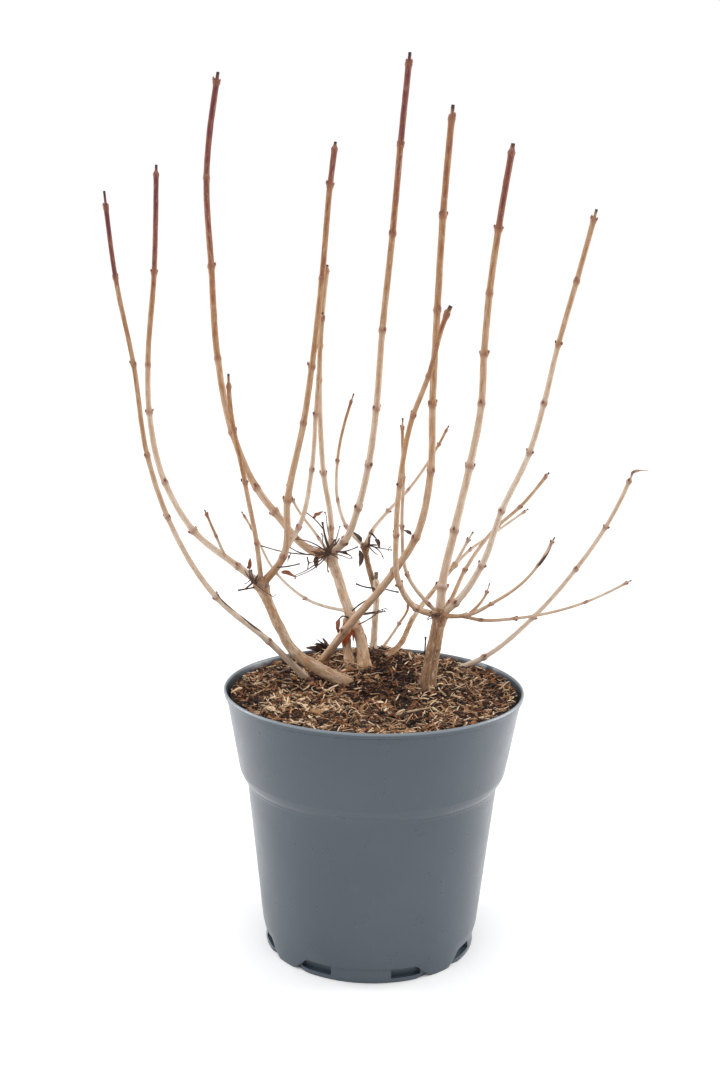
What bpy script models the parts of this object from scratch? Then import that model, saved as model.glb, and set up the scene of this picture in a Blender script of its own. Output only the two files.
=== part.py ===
"""Snowball viburnum in its pot: a bare, cut-back winter shrub of long canes.

Metres, +Z up. The origin is the centre of the pot's flat underside and the
front of the shrub faces -Y. Stems rise out of the growing medium to knuckles,
canes grow on from the knuckles, and dry flower stalks stand round them.
"""
import math
import random
from collections import namedtuple

import bmesh
import bpy
from mathutils import Euler, Vector
from mathutils.bvhtree import BVHTree

# Clear space kept between two solids that meet
GAP = 0.0003
# Corners closer than this are joined: on a fresh tube, and after a cut
FINE_WELD = 0.00001
CUT_WELD = 0.00004

# Pot
POT_HEIGHT = 0.243
RIM_RADIUS = 0.135
RIM_DEPTH = 0.0045
RIM_ROUNDING = 0.0005
COLLAR_TOP_RADIUS = 0.1325
COLLAR_FOOT_RADIUS = 0.1222
COLLAR_FOOT_HEIGHT = 0.176
SHOULDER_INSET = 0.002
SHOULDER_HEIGHT = 0.165
RIDGE_RADIUS = 0.1147
RIDGE_HEIGHT = 0.158
RIDGE_STEP = 0.0008
FOOT_RADIUS = 0.098
FOOT_TURN_RADIUS = 0.1002
FOOT_TURN_HEIGHT = 0.022
WALL = 0.002
WELL_RADIUS = 0.0935
WELL_SLOPE = 0.001
CHANNEL_DEPTH = 0.014
WALL_BULGE = 0.0005
ARCHES = 4
ARCH_RISE = 0.013
ARCH_SLOPE = 0.75
ARCH_BIAS = 0.66
ARCH_TURN = math.radians(-5.0)
POT_STEPS = 48

# Growing medium: level at the wall, mounded round the stems
MEDIUM_GAP = 0.0004
MEDIUM_LEVEL = 0.234
MOUND_RISE = 0.019
MOUND_BACK = 0.065
MOUND_SPREAD = 0.045
MEDIUM_RINGS = (0.105, 0.084, 0.063, 0.042, 0.021)

# Limbs
NODE_SWELLING = 1.28
NODE_FLANK = 0.005
TIP_SWELLING = 1.2
TIP_FLANK = 0.003
TIP_END = 0.8
RING_SPACING = 0.03
PATH_STEP = 0.002
LEAN_EARLY = 1.5
TAPER_EARLY = 2.0
ROOT_FLARE = 0.35
ROOT_FLARE_HEIGHT = 0.01
ROOT_COVER = 0.012
STOUT_RADIUS = 0.0043
# Rings of a knuckle: distance from its middle and radius, as shares of its size
KNUCKLE_NECK = -1.6
KNUCKLE_RINGS = ((-0.75, 0.8), (0.0, 1.0), (0.6, 0.8), (0.92, 0.4))

# Dry flower stalks round the knuckles
STALK_RADIUS = 0.0007
STALK_SWAY = 0.16
STALK_FAN = (1.1, 0.7, 1.5)
STALK_CLEARANCE = 0.0006
STALK_SEED = 11
SPUR_RADIUS = 0.0022
SPUR_END_RADIUS = 0.0013
SPUR_LENGTH = 0.006
SPUR_CROWN = 0.003
SPUR_LIFT = 0.35

# Plain colours of the real surfaces
POT_GREY = (0.105, 0.125, 0.142)
BARK_MULCH = (0.165, 0.085, 0.045)
OLD_BARK = (0.42, 0.31, 0.22)
CANE_BARK = (0.55, 0.36, 0.22)
DRY_STALK = (0.12, 0.07, 0.055)

# A limb rises from the medium, or from another limb at a share of its length.
# It passes its leaf nodes at the (x, z) places listed, the last one its tip,
# and leans evenly towards tip_y. foot is (x, y) in the medium, or that share.
Limb = namedtuple("Limb", "name grows_from foot tip_y nodes foot_radius tip_radius knuckle early")


def limb(name, grows_from, foot, tip_y, nodes, foot_radius, tip_radius, knuckle=0.0, early=LEAN_EARLY):
    """One row of the table of limbs, with its usual values filled in."""
    return Limb(name, grows_from, foot, tip_y, nodes, foot_radius, tip_radius, knuckle, early)


STEMS = [
    limb("stem_left", None, (-0.026, 0.013), 0.005,
         [(-0.051, 0.256), (-0.071, 0.270), (-0.086, 0.295), (-0.097, 0.321),
          (-0.102, 0.334)],
         0.0056, 0.0043, knuckle=0.0075),
    limb("stem_centre", None, (-0.009, 0.038), 0.080,
         [(-0.015, 0.280), (-0.024, 0.297), (-0.037, 0.332), (-0.043, 0.347)],
         0.0054, 0.0047, knuckle=0.0075),
    limb("stem_centre_side", None, (-0.021, 0.041), 0.063,
         [(-0.026, 0.269), (-0.025, 0.294)],
         0.0043, 0.0038),
    limb("stem_back", None, (0.000, 0.088), 0.095,
         [(0.001, 0.282), (0.002, 0.302), (0.001, 0.324)],
         0.0032, 0.0029),
    limb("bough_back", "stem_back", 0.8, 0.105,
         [(-0.006, 0.332), (-0.010, 0.351)],
         0.0029, 0.0026, knuckle=0.0045),
    limb("bough_right_back", None, (0.008, 0.052), 0.125,
         [(0.026, 0.264), (0.037, 0.283), (0.054, 0.303), (0.079, 0.331)],
         0.0027, 0.0022, knuckle=0.0035),
    limb("stem_right", None, (0.048, 0.009), 0.015,
         [(0.054, 0.276), (0.059, 0.306)],
         0.0070, 0.0060, knuckle=0.0080),
]

CANES = [
    limb("cane_far_left", None, (-0.061, 0.027), -0.140,
         [(-0.095, 0.284), (-0.138, 0.331), (-0.173, 0.406), (-0.185, 0.459),
          (-0.190, 0.531), (-0.199, 0.595), (-0.204, 0.656)],
         0.0032, 0.0017),
    limb("cane_left", "stem_left", 1.0, 0.050,
         [(-0.123, 0.349), (-0.163, 0.379), (-0.189, 0.421), (-0.203, 0.482),
          (-0.204, 0.523), (-0.198, 0.602), (-0.195, 0.692)],
         0.0031, 0.0022),
    limb("twig_left", "cane_left", 0.1, -0.010,
         [(-0.141, 0.378), (-0.150, 0.403)],
         0.0016, 0.0011),
    limb("cane_left_inner", "stem_left", 1.0, -0.040,
         [(-0.082, 0.361), (-0.078, 0.412), (-0.064, 0.480), (-0.057, 0.527),
          (-0.049, 0.598), (-0.043, 0.670), (-0.039, 0.703)],
         0.0033, 0.0023),
    limb("cane_left_front", "stem_left", 1.0, -0.110,
         [(-0.103, 0.379), (-0.109, 0.436), (-0.118, 0.515), (-0.118, 0.525)],
         0.0023, 0.0018),
    limb("cane_left_inner_side", "cane_left_inner", 0.11, 0.025,
         [(-0.069, 0.386), (-0.058, 0.436), (-0.055, 0.483), (-0.050, 0.571)],
         0.0022, 0.0019),
    limb("cane_back_left", "stem_centre", 1.0, 0.170,
         [(-0.054, 0.348), (-0.096, 0.384), (-0.114, 0.406), (-0.138, 0.457),
          (-0.153, 0.525), (-0.160, 0.610), (-0.165, 0.691), (-0.154, 0.786)],
         0.0036, 0.0028),
    limb("cane_tallest", "stem_centre", 1.0, 0.020,
         [(-0.030, 0.360), (-0.017, 0.394), (-0.008, 0.435), (-0.002, 0.487),
          (0.002, 0.556), (0.009, 0.637), (0.014, 0.708), (0.020, 0.780)],
         0.0033, 0.0026),
    limb("cane_centre_back", "stem_centre", 1.0, 0.120,
         [(-0.042, 0.372), (-0.050, 0.422), (-0.055, 0.508), (-0.055, 0.539),
          (-0.049, 0.613)],
         0.0026, 0.0023),
    limb("cane_centre_short", "stem_centre", 1.0, 0.130,
         [(-0.054, 0.360), (-0.080, 0.391), (-0.087, 0.407)],
         0.0016, 0.0012),
    limb("cane_low_left", "stem_centre", 0.5, 0.120,
         [(-0.066, 0.303), (-0.095, 0.324), (-0.120, 0.365), (-0.130, 0.381)],
         0.0016, 0.0012),
    limb("cane_back_right", "bough_back", 1.0, 0.180,
         [(-0.004, 0.363), (0.012, 0.381), (0.032, 0.400), (0.062, 0.442),
          (0.072, 0.461)],
         0.0020, 0.0013),
    limb("cane_back_middle", "bough_back", 1.0, 0.155,
         [(-0.028, 0.368), (-0.037, 0.392), (-0.038, 0.428), (-0.026, 0.484),
          (-0.023, 0.493)],
         0.0018, 0.0014),
    limb("cane_cross", None, (-0.049, 0.072), -0.090,
         [(-0.027, 0.285), (0.016, 0.352), (0.033, 0.385), (0.043, 0.446),
          (0.042, 0.501), (0.043, 0.575), (0.045, 0.645), (0.050, 0.725)],
         0.0040, 0.0025, early=2.6),
    limb("sprig_back", None, (0.006, 0.104), 0.135,
         [(0.025, 0.270), (0.034, 0.286), (0.029, 0.299)],
         0.0015, 0.0012),
    limb("cane_right_back_long", "bough_right_back", 1.0, 0.170,
         [(0.094, 0.343), (0.115, 0.355), (0.154, 0.380)],
         0.0016, 0.0012),
    limb("cane_right_back_short", "bough_right_back", 1.0, 0.130,
         [(0.091, 0.354), (0.096, 0.363)],
         0.0018, 0.0015),
    limb("cane_right_upright", "stem_right", 1.0, 0.050,
         [(0.060, 0.331), (0.070, 0.382), (0.082, 0.439), (0.091, 0.494),
          (0.092, 0.537), (0.095, 0.589), (0.101, 0.643), (0.111, 0.714)],
         0.0040, 0.0028),
    limb("cane_right", "stem_right", 1.0, -0.060,
         [(0.072, 0.319), (0.093, 0.356), (0.107, 0.407), (0.127, 0.459),
          (0.136, 0.501), (0.144, 0.549), (0.155, 0.599), (0.167, 0.654)],
         0.0032, 0.0021),
    limb("cane_front", "stem_right", 1.0, -0.170,
         [(0.036, 0.318), (0.020, 0.345), (0.015, 0.395), (0.016, 0.441),
          (0.024, 0.498), (0.034, 0.528), (0.045, 0.572), (0.048, 0.579)],
         0.0029, 0.0019),
    limb("cane_inner_front", "stem_right", 1.0, -0.015,
         [(0.048, 0.317), (0.028, 0.345), (0.022, 0.389), (0.022, 0.432),
          (0.020, 0.476), (0.020, 0.485)],
         0.0019, 0.0014),
    limb("cane_right_behind", "stem_right", 1.0, 0.100,
         [(0.067, 0.315), (0.082, 0.341), (0.114, 0.378), (0.135, 0.394),
          (0.163, 0.426)],
         0.0021, 0.0016),
    limb("cane_right_low", "stem_right", 1.0, -0.130,
         [(0.078, 0.314), (0.097, 0.334), (0.127, 0.380), (0.137, 0.405)],
         0.0023, 0.0011),
    limb("twig_right_low", "cane_right_low", 0.24, -0.010,
         [(0.097, 0.333), (0.100, 0.342)],
         0.0015, 0.0011),
    limb("cane_right_level", "cane_right_low", 0.18, -0.050,
         [(0.092, 0.311), (0.121, 0.315), (0.179, 0.334), (0.216, 0.355)],
         0.0016, 0.0011),
    limb("cane_far_right", None, (0.079, 0.075), 0.090,
         [(0.106, 0.250), (0.152, 0.289), (0.191, 0.336), (0.217, 0.376),
          (0.237, 0.420), (0.240, 0.429)],
         0.0026, 0.0020),
]

# A mass of dry flower stalks stands on a limb at a share of its length. side
# turns its spur round the limb, seen from above with 0 towards the front.
StalkMass = namedtuple("StalkMass", "name stands_on share side stalks reach")

STALK_MASSES = [
    StalkMass("stalks_left", "stem_left", 1.0, math.radians(-40), 9, 0.026),
    StalkMass("stalks_centre", "stem_centre", 1.0, math.radians(-8), 16, 0.042),
    StalkMass("stalks_centre_back", "stem_centre", 1.0, math.radians(165), 10, 0.036),
    StalkMass("stalks_trunk", "stem_centre", 0.45, math.radians(75), 8, 0.028),
    StalkMass("stalks_back", "bough_back", 1.0, math.radians(30), 9, 0.024),
    StalkMass("stalks_right", "stem_right", 1.0, math.radians(-15), 6, 0.016),
]


def remove_scene_objects():
    """Empty the scene without closing the file."""
    for obj in list(bpy.data.objects):
        bpy.data.objects.remove(obj, do_unlink=True)


def new_collection(name):
    """A collection linked to the scene."""
    collection = bpy.data.collections.new(name)
    bpy.context.scene.collection.children.link(collection)
    return collection


def new_material(name, colour, roughness):
    """A plain Principled material."""
    material = bpy.data.materials.new(name)
    material.use_nodes = True
    shader = material.node_tree.nodes["Principled BSDF"]
    shader.inputs["Base Color"].default_value = (*colour, 1.0)
    shader.inputs["Roughness"].default_value = roughness
    shader.inputs["Metallic"].default_value = 0.0
    return material


def new_object(name, mesh, collection, material=None):
    """An object in the collection, dressed in its material."""
    obj = bpy.data.objects.new(name, mesh)
    collection.objects.link(obj)
    if material is not None:
        mesh.materials.clear()
        mesh.materials.append(material)
    return obj


def evaluated_mesh(obj):
    """The object's mesh with its modifiers or its curve bevel worked in."""
    depsgraph = bpy.context.evaluated_depsgraph_get()
    depsgraph.update()
    return bpy.data.meshes.new_from_object(obj.evaluated_get(depsgraph))


def apply_modifiers(obj):
    """Replace the object's mesh by its evaluated one."""
    mesh = evaluated_mesh(obj)
    obj.modifiers.clear()
    obj.data = mesh


def shade_round(mesh, angle=math.radians(40)):
    """Smooth shading that keeps the hard edges."""
    mesh.shade_smooth()
    mesh.set_sharp_from_angle(angle=angle)


def turned_mesh(name, profile, steps):
    """Turn an (r, z) profile round the Z axis with a Screw modifier."""
    shape = bmesh.new()
    verts = [shape.verts.new((radius, 0.0, height)) for radius, height in profile]
    for first, second in zip(verts, verts[1:]):
        shape.edges.new((first, second))
    mesh = bpy.data.meshes.new(name)
    shape.to_mesh(mesh)
    shape.free()
    obj = new_object(name, mesh, bpy.context.scene.collection)
    screw = obj.modifiers.new("turn", "SCREW")
    screw.axis = "Z"
    screw.steps = steps
    screw.render_steps = steps
    screw.use_merge_vertices = True
    screw.merge_threshold = 0.00005
    turned = evaluated_mesh(obj)
    bpy.data.objects.remove(obj, do_unlink=True)
    turned.name = name
    return turned


def pot_profile():
    """Section of the pot: up its inside, over the rim and down its outside."""
    inner_collar_foot = COLLAR_FOOT_RADIUS - WALL
    under_rim = POT_HEIGHT - RIM_DEPTH
    shoulder_drop = COLLAR_FOOT_HEIGHT - SHOULDER_HEIGHT
    inside = [
        (0.0, WALL),
        (WELL_RADIUS - WALL, WALL),
        (WELL_RADIUS + WELL_SLOPE - WALL, CHANNEL_DEPTH + WALL),
        (FOOT_RADIUS - WALL_BULGE, CHANNEL_DEPTH + WALL),
        (RIDGE_RADIUS - WALL_BULGE - WALL, RIDGE_HEIGHT),
        (inner_collar_foot - SHOULDER_INSET, SHOULDER_HEIGHT),
        (inner_collar_foot, COLLAR_FOOT_HEIGHT),
        (COLLAR_TOP_RADIUS - WALL, under_rim - WALL),
        (RIM_RADIUS - WALL - RIM_ROUNDING, POT_HEIGHT - WALL),
        (RIM_RADIUS - WALL, POT_HEIGHT),
    ]
    outside = [
        (RIM_RADIUS - RIM_ROUNDING, POT_HEIGHT),
        (RIM_RADIUS, POT_HEIGHT - RIM_ROUNDING),
        (RIM_RADIUS - RIM_ROUNDING, under_rim),
        (COLLAR_TOP_RADIUS, under_rim - 2.0 * RIM_ROUNDING),
        (COLLAR_FOOT_RADIUS, COLLAR_FOOT_HEIGHT),
        (COLLAR_FOOT_RADIUS - 0.6 * SHOULDER_INSET, COLLAR_FOOT_HEIGHT - 0.6 * shoulder_drop),
        (COLLAR_FOOT_RADIUS - 1.8 * SHOULDER_INSET, SHOULDER_HEIGHT),
        (RIDGE_RADIUS, RIDGE_HEIGHT),
        (RIDGE_RADIUS - RIDGE_STEP, RIDGE_HEIGHT - 1.5 * RIDGE_STEP),
        (FOOT_TURN_RADIUS, FOOT_TURN_HEIGHT),
        (FOOT_RADIUS, 0.0),
        (FOOT_RADIUS - WALL, 0.0),
        (FOOT_RADIUS - WALL, CHANNEL_DEPTH),
        (WELL_RADIUS + WELL_SLOPE, CHANNEL_DEPTH),
        (WELL_RADIUS, 0.0),
        (0.0, 0.0),
    ]
    return inside + outside


def arch_height(angle):
    """How far the foot's edge stands off the ground at an angle from +X."""
    wave = math.cos(ARCHES * (angle - ARCH_TURN))
    return ARCH_RISE * min(1.0, max(0.0, wave * ARCH_SLOPE + ARCH_BIAS))


def make_pot(collection, material):
    """The pot, with drainage arches that lift the foot's edge."""
    mesh = turned_mesh("pot", pot_profile(), POT_STEPS)
    for vert in mesh.vertices:
        radius = math.hypot(vert.co.x, vert.co.y)
        if vert.co.z < 0.5 * WALL and radius > FOOT_RADIUS - 1.5 * WALL:
            vert.co.z = arch_height(math.atan2(vert.co.y, vert.co.x))
    shade_round(mesh)
    return new_object("pot", mesh, collection, material)


def medium_height(x, y):
    """Height of the growing medium's surface."""
    away = (x * x + (y - MOUND_BACK) ** 2) / (2.0 * MOUND_SPREAD ** 2)
    return MEDIUM_LEVEL + MOUND_RISE * math.exp(-away)


def medium_mesh(name, lift=0.0):
    """The filling of the pot, with its top surface lifted by a distance."""
    inset = WALL + MEDIUM_GAP
    profile = [(0.0, MEDIUM_LEVEL)]
    profile += [(radius, MEDIUM_LEVEL) for radius in reversed(MEDIUM_RINGS)]
    profile += [
        (COLLAR_TOP_RADIUS - inset - MEDIUM_GAP, MEDIUM_LEVEL),
        (COLLAR_FOOT_RADIUS - inset, COLLAR_FOOT_HEIGHT),
        (COLLAR_FOOT_RADIUS - inset - SHOULDER_INSET, SHOULDER_HEIGHT),
        (RIDGE_RADIUS - WALL_BULGE - inset, RIDGE_HEIGHT),
        (FOOT_RADIUS - WALL_BULGE - MEDIUM_GAP, CHANNEL_DEPTH + inset),
        (WELL_RADIUS + WELL_SLOPE - inset, CHANNEL_DEPTH + inset),
        (WELL_RADIUS - inset, inset),
        (0.0, inset),
    ]
    mesh = turned_mesh(name, profile, POT_STEPS)
    for vert in mesh.vertices:
        if vert.co.z > MEDIUM_LEVEL - 0.5 * WALL:
            vert.co.z = medium_height(vert.co.x, vert.co.y) + lift
    return mesh


def curve_through(points):
    """A dense smooth path through the points, with the distance of each one.

    The direction at a point follows its two neighbours, the nearer one more.
    """
    spans = [(after - before).length for before, after in zip(points, points[1:])]
    slopes = [(after - before) / span for before, after, span in zip(points, points[1:], spans)]
    turns = [None] * len(points)
    for i in range(1, len(points) - 1):
        total = spans[i - 1] + spans[i]
        turns[i] = (slopes[i - 1] * spans[i] + slopes[i] * spans[i - 1]) / total
    if len(points) == 2:
        turns = [slopes[0], slopes[0]]
    turns[0] = turns[0] or slopes[0] * 1.5 - turns[1] * 0.5
    turns[-1] = turns[-1] or slopes[-1] * 1.5 - turns[-2] * 0.5
    path = [points[0].copy()]
    marks = [0.0]
    travelled = 0.0
    for i, span in enumerate(spans):
        steps = max(2, math.ceil(span / PATH_STEP))
        for step in range(1, steps + 1):
            u = step / steps
            v = u * u
            w = v * u
            point = (2 * w - 3 * v + 1) * points[i] + (w - 2 * v + u) * span * turns[i]
            point += (3 * v - 2 * w) * points[i + 1] + (w - v) * span * turns[i + 1]
            travelled += (point - path[-1]).length
            path.append(point)
        marks.append(travelled)
    return path, marks


class Course:
    """Where a limb runs: its path, its length and its nodes' distances."""

    def __init__(self, row, courses):
        if row.grows_from is None:
            x, y = row.foot
            start = Vector((x, y, medium_height(x, y)))
        else:
            start = courses[row.grows_from].at_share(row.foot)
        flat = [Vector((start.x, 0.0, start.z))]
        flat += [Vector((x, 0.0, z)) for x, z in row.nodes]
        run = [0.0]
        for before, after in zip(flat, flat[1:]):
            run.append(run[-1] + (after - before).length)
        points = []
        for place, distance in zip(flat, run):
            left = 1.0 - distance / run[-1]
            y = start.y + (row.tip_y - start.y) * (1.0 - left ** row.early)
            points.append(Vector((place.x, y, place.z)))
        self.row = row
        self.path, marks = curve_through(points)
        self.nodes = marks[1:-1]
        self.length = marks[-1]

    def at(self, distance):
        """The point at a distance along the path, past its ends on a straight line."""
        travelled = 0.0
        for before, after in zip(self.path, self.path[1:]):
            span = (after - before).length
            if distance <= travelled + span or after is self.path[-1]:
                return before.lerp(after, (distance - travelled) / span)
            travelled += span
        return self.path[-1]

    def at_share(self, share):
        """The point at a share of the length."""
        return self.at(share * self.length)

    def radius(self, distance):
        """The limb's own taper, without its nodes."""
        left = 1.0 - min(1.0, max(0.0, distance / self.length))
        return self.row.tip_radius + (self.row.foot_radius - self.row.tip_radius) * left ** TAPER_EARLY

    def flare(self, distance):
        """Extra width where a stem rises out of the medium."""
        if self.row.grows_from is not None:
            return 1.0
        return 1.0 + ROOT_FLARE * math.exp(-max(0.0, distance) / ROOT_FLARE_HEIGHT)

    def stations(self):
        """(distance, radius) of each ring, from the foot to the tip."""
        rings = [(0.0, 1.0)]
        if self.row.grows_from is None:
            rings = [(-ROOT_COVER, 1.0), (0.0, 1.0), (ROOT_FLARE_HEIGHT, 1.0)]
        for node in self.nodes:
            rings += [(node - NODE_FLANK, 1.0), (node, NODE_SWELLING), (node + NODE_FLANK, 1.0)]
        if self.row.knuckle:
            size = self.row.knuckle
            neck = self.length + KNUCKLE_NECK * size
            kept = [ring for ring in rings if ring[0] < neck - TIP_FLANK]
            sized = [(d, self.radius(d) * swell * self.flare(d)) for d, swell in kept]
            sized.append((neck, self.radius(self.length)))
            return sized + [(self.length + away * size, wide * size) for away, wide in KNUCKLE_RINGS]
        rings = [ring for ring in rings if ring[0] < self.length - 2.5 * TIP_FLANK]
        rings += [(self.length - 2 * TIP_FLANK, 1.0), (self.length - TIP_FLANK, TIP_SWELLING)]
        rings.append((self.length, TIP_END))
        filled = [rings[0]]
        for ring in rings[1:]:
            space = ring[0] - filled[-1][0]
            if space < 0.5 * TIP_FLANK:
                continue
            extra = math.ceil(space / RING_SPACING) - 1
            first = filled[-1][0]
            filled += [(first + space * k / (extra + 1), 1.0) for k in range(1, extra + 1)]
            filled.append(ring)
        return [(d, self.radius(d) * swell * self.flare(d)) for d, swell in filled]


def tube_mesh(name, rings, bevel_resolution, grow=0.0):
    """A capped tube through (point, radius) rings, made as a curve."""
    curve = bpy.data.curves.new(name, "CURVE")
    curve.dimensions = "3D"
    curve.bevel_depth = 1.0
    curve.bevel_resolution = bevel_resolution
    curve.use_fill_caps = True
    curve.twist_mode = "MINIMUM"
    spline = curve.splines.new("POLY")
    spline.points.add(len(rings) - 1)
    first = (rings[0][0] - rings[1][0]).normalized() * grow
    last = (rings[-1][0] - rings[-2][0]).normalized() * grow
    for index, (place, radius) in enumerate(rings):
        shift = Vector()
        if index == 0:
            shift = first
        if index == len(rings) - 1:
            shift = last
        spline.points[index].co = (*(place + shift), 1.0)
        spline.points[index].radius = radius + grow
    obj = bpy.data.objects.new(name, curve)
    bpy.context.scene.collection.objects.link(obj)
    mesh = evaluated_mesh(obj)
    bpy.data.objects.remove(obj, do_unlink=True)
    bpy.data.curves.remove(curve)
    mesh.name = name
    weld(mesh)
    return mesh


def weld(mesh, distance=FINE_WELD):
    """Join near corners, cut many-sided faces into triangles and turn all faces outwards."""
    shape = bmesh.new()
    shape.from_mesh(mesh)
    bmesh.ops.remove_doubles(shape, verts=shape.verts, dist=distance)
    many_sided = [face for face in shape.faces if len(face.verts) > 4]
    bmesh.ops.triangulate(shape, faces=many_sided)
    bmesh.ops.dissolve_degenerate(shape, edges=shape.edges, dist=0.1 * distance)
    bmesh.ops.recalc_face_normals(shape, faces=shape.faces)
    shape.to_mesh(mesh)
    shape.free()


def keep_largest_body(mesh):
    """Drop the loose scraps that a cut leaves behind."""
    shape = bmesh.new()
    shape.from_mesh(mesh)
    unseen = set(shape.verts)
    bodies = []
    while unseen:
        body = {unseen.pop()}
        edge_of_body = set(body)
        while edge_of_body:
            vert = edge_of_body.pop()
            for edge in vert.link_edges:
                other = edge.other_vert(vert)
                if other in unseen:
                    unseen.discard(other)
                    body.add(other)
                    edge_of_body.add(other)
        bodies.append(body)
    largest = max(bodies, key=len)
    scraps = [vert for body in bodies if body is not largest for vert in body]
    bmesh.ops.delete(shape, geom=scraps, context="VERTS")
    shape.to_mesh(mesh)
    shape.free()


def skin_tree(mesh):
    """A search tree of the mesh's faces."""
    corners = [vert.co for vert in mesh.vertices]
    faces = [tuple(face.vertices) for face in mesh.polygons]
    return BVHTree.FromPolygons(corners, faces)


class Clearances:
    """Grown copies of the solids made so far, which later solids are cut by."""

    def __init__(self, collection):
        self.collection = collection
        self.tools = []

    def add(self, name, mesh):
        """Keep a grown copy as a cutter."""
        tool = new_object(name + "_clearance", mesh, self.collection)
        tool.hide_render = True
        tool.display_type = "WIRE"
        self.tools.append((tool, skin_tree(mesh)))

    def touching(self, mesh):
        """The cutters that a mesh touches."""
        tree = skin_tree(mesh)
        return [tool for tool, skin in self.tools if tree.overlap(skin)]

    def cut(self, obj):
        """Cut the object clear of every cutter it touches."""
        for tool in self.touching(obj.data):
            boolean = obj.modifiers.new("clear_of_" + tool.name, "BOOLEAN")
            boolean.operation = "DIFFERENCE"
            boolean.solver = "EXACT"
            boolean.object = tool
        apply_modifiers(obj)
        weld(obj.data, CUT_WELD)
        keep_largest_body(obj.data)


def tube_sides(row):
    """Bevel resolution: eight sides on a stout limb and six on a thin one."""
    return 2 if row.foot_radius >= STOUT_RADIUS else 1


def make_limb(course, collection, material, clearances):
    """One stem, bough or cane, cut clear of what it grows from."""
    row = course.row
    sides = tube_sides(row)
    rings = [(course.at(distance), radius) for distance, radius in course.stations()]
    obj = new_object(row.name, tube_mesh(row.name, rings, sides), collection, material)
    clearances.cut(obj)
    shade_round(obj.data)
    facet_gap = GAP / math.cos(math.pi / (4 + 2 * sides))
    clearances.add(row.name, tube_mesh(row.name + "_grown", rings, sides, grow=facet_gap))
    return obj


def stalk_rings(base, heading, length, rng):
    """A dry stalk that bends a little, from its base to its blunt end."""
    sway = Vector((rng.uniform(-1, 1), rng.uniform(-1, 1), rng.uniform(-1, 1))) * STALK_SWAY * length
    middle = base + heading * 0.5 * length + sway
    end = base + heading * length
    return [(base, STALK_RADIUS * 1.5), (middle, STALK_RADIUS), (end, STALK_RADIUS * 1.2)]


def join_bodies(obj, pieces):
    """Union the loose pieces with the object, and remove them."""
    group = bpy.data.collections.new(obj.name + "_pieces")
    for piece in pieces:
        group.objects.link(piece)
    boolean = obj.modifiers.new("fuse", "BOOLEAN")
    boolean.operation = "UNION"
    boolean.solver = "EXACT"
    boolean.operand_type = "COLLECTION"
    boolean.collection = group
    apply_modifiers(obj)
    for piece in pieces:
        bpy.data.objects.remove(piece, do_unlink=True)
    bpy.data.collections.remove(group)
    weld(obj.data, CUT_WELD)


def make_stalk_mass(row, course, collection, material, clearances, rng):
    """Dry stalks that branch from one spur, fused to one solid."""
    foot = course.at_share(row.share)
    out = Vector((math.sin(row.side), -math.cos(row.side), SPUR_LIFT)).normalized()
    size = course.row.knuckle if row.share == 1.0 else course.radius(row.share * course.length)
    spur_end = foot + out * (size + SPUR_LENGTH)
    crown = spur_end - out * SPUR_CROWN
    spur = [(foot, SPUR_RADIUS), (crown, SPUR_RADIUS), (spur_end, SPUR_END_RADIUS)]
    obj = new_object(row.name, tube_mesh(row.name, spur, 1), collection, material)
    stalks = []
    for index in range(6 * row.stalks):
        if len(stalks) == row.stalks:
            break
        fan = Euler([rng.uniform(-limit, limit) for limit in STALK_FAN])
        heading = out.copy()
        heading.rotate(fan)
        length = row.reach * rng.uniform(0.45, 1.0)
        rings = stalk_rings(crown, heading, length, rng)
        trial = tube_mesh(f"stalk_{index}", rings, 0, grow=STALK_CLEARANCE)
        if clearances.touching(trial):
            continue
        mesh = tube_mesh(f"stalk_{index}", rings, 0)
        stalks.append(new_object(mesh.name, mesh, bpy.context.scene.collection))
    join_bodies(obj, stalks)
    clearances.cut(obj)
    shade_round(obj.data)
    clearances.add(row.name, obj.data.copy())
    return obj


def main():
    """Build the shrub and its pot."""
    remove_scene_objects()
    plant = new_collection("snowball_viburnum")
    cutters = new_collection("cutters")
    pot_plastic = new_material("pot_plastic", POT_GREY, 0.42)
    mulch = new_material("bark_mulch", BARK_MULCH, 0.95)
    old_bark = new_material("old_bark", OLD_BARK, 0.8)
    cane_bark = new_material("cane_bark", CANE_BARK, 0.6)
    dry_stalk = new_material("dry_stalk", DRY_STALK, 0.85)

    make_pot(plant, pot_plastic)
    filling = medium_mesh("growing_medium")
    shade_round(filling)
    new_object("growing_medium", filling, plant, mulch)
    clearances = Clearances(cutters)
    clearances.add("growing_medium", medium_mesh("growing_medium_grown", lift=1.3 * GAP))

    courses = {}
    for row in STEMS + CANES:
        courses[row.name] = Course(row, courses)
        bark = old_bark if row in STEMS else cane_bark
        make_limb(courses[row.name], plant, bark, clearances)

    rng = random.Random(STALK_SEED)
    for row in STALK_MASSES:
        make_stalk_mass(row, courses[row.stands_on], plant, dry_stalk, clearances, rng)


if __name__ == "__main__":
    main()
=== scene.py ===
"""Looks of a bare snowball viburnum in its pot: bark, buds, dry stalks and mulch."""
import math
import random
from bisect import bisect_right
from collections import namedtuple

import bmesh
import bpy
import numpy as np
from bpy.props import FloatProperty, FloatVectorProperty, IntProperty, PointerProperty
from bpy.types import NodeSocket, Operator, Panel, PropertyGroup
from mathutils import Euler, Matrix, Quaternion, Vector, noise
from mathutils.bvhtree import BVHTree


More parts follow.
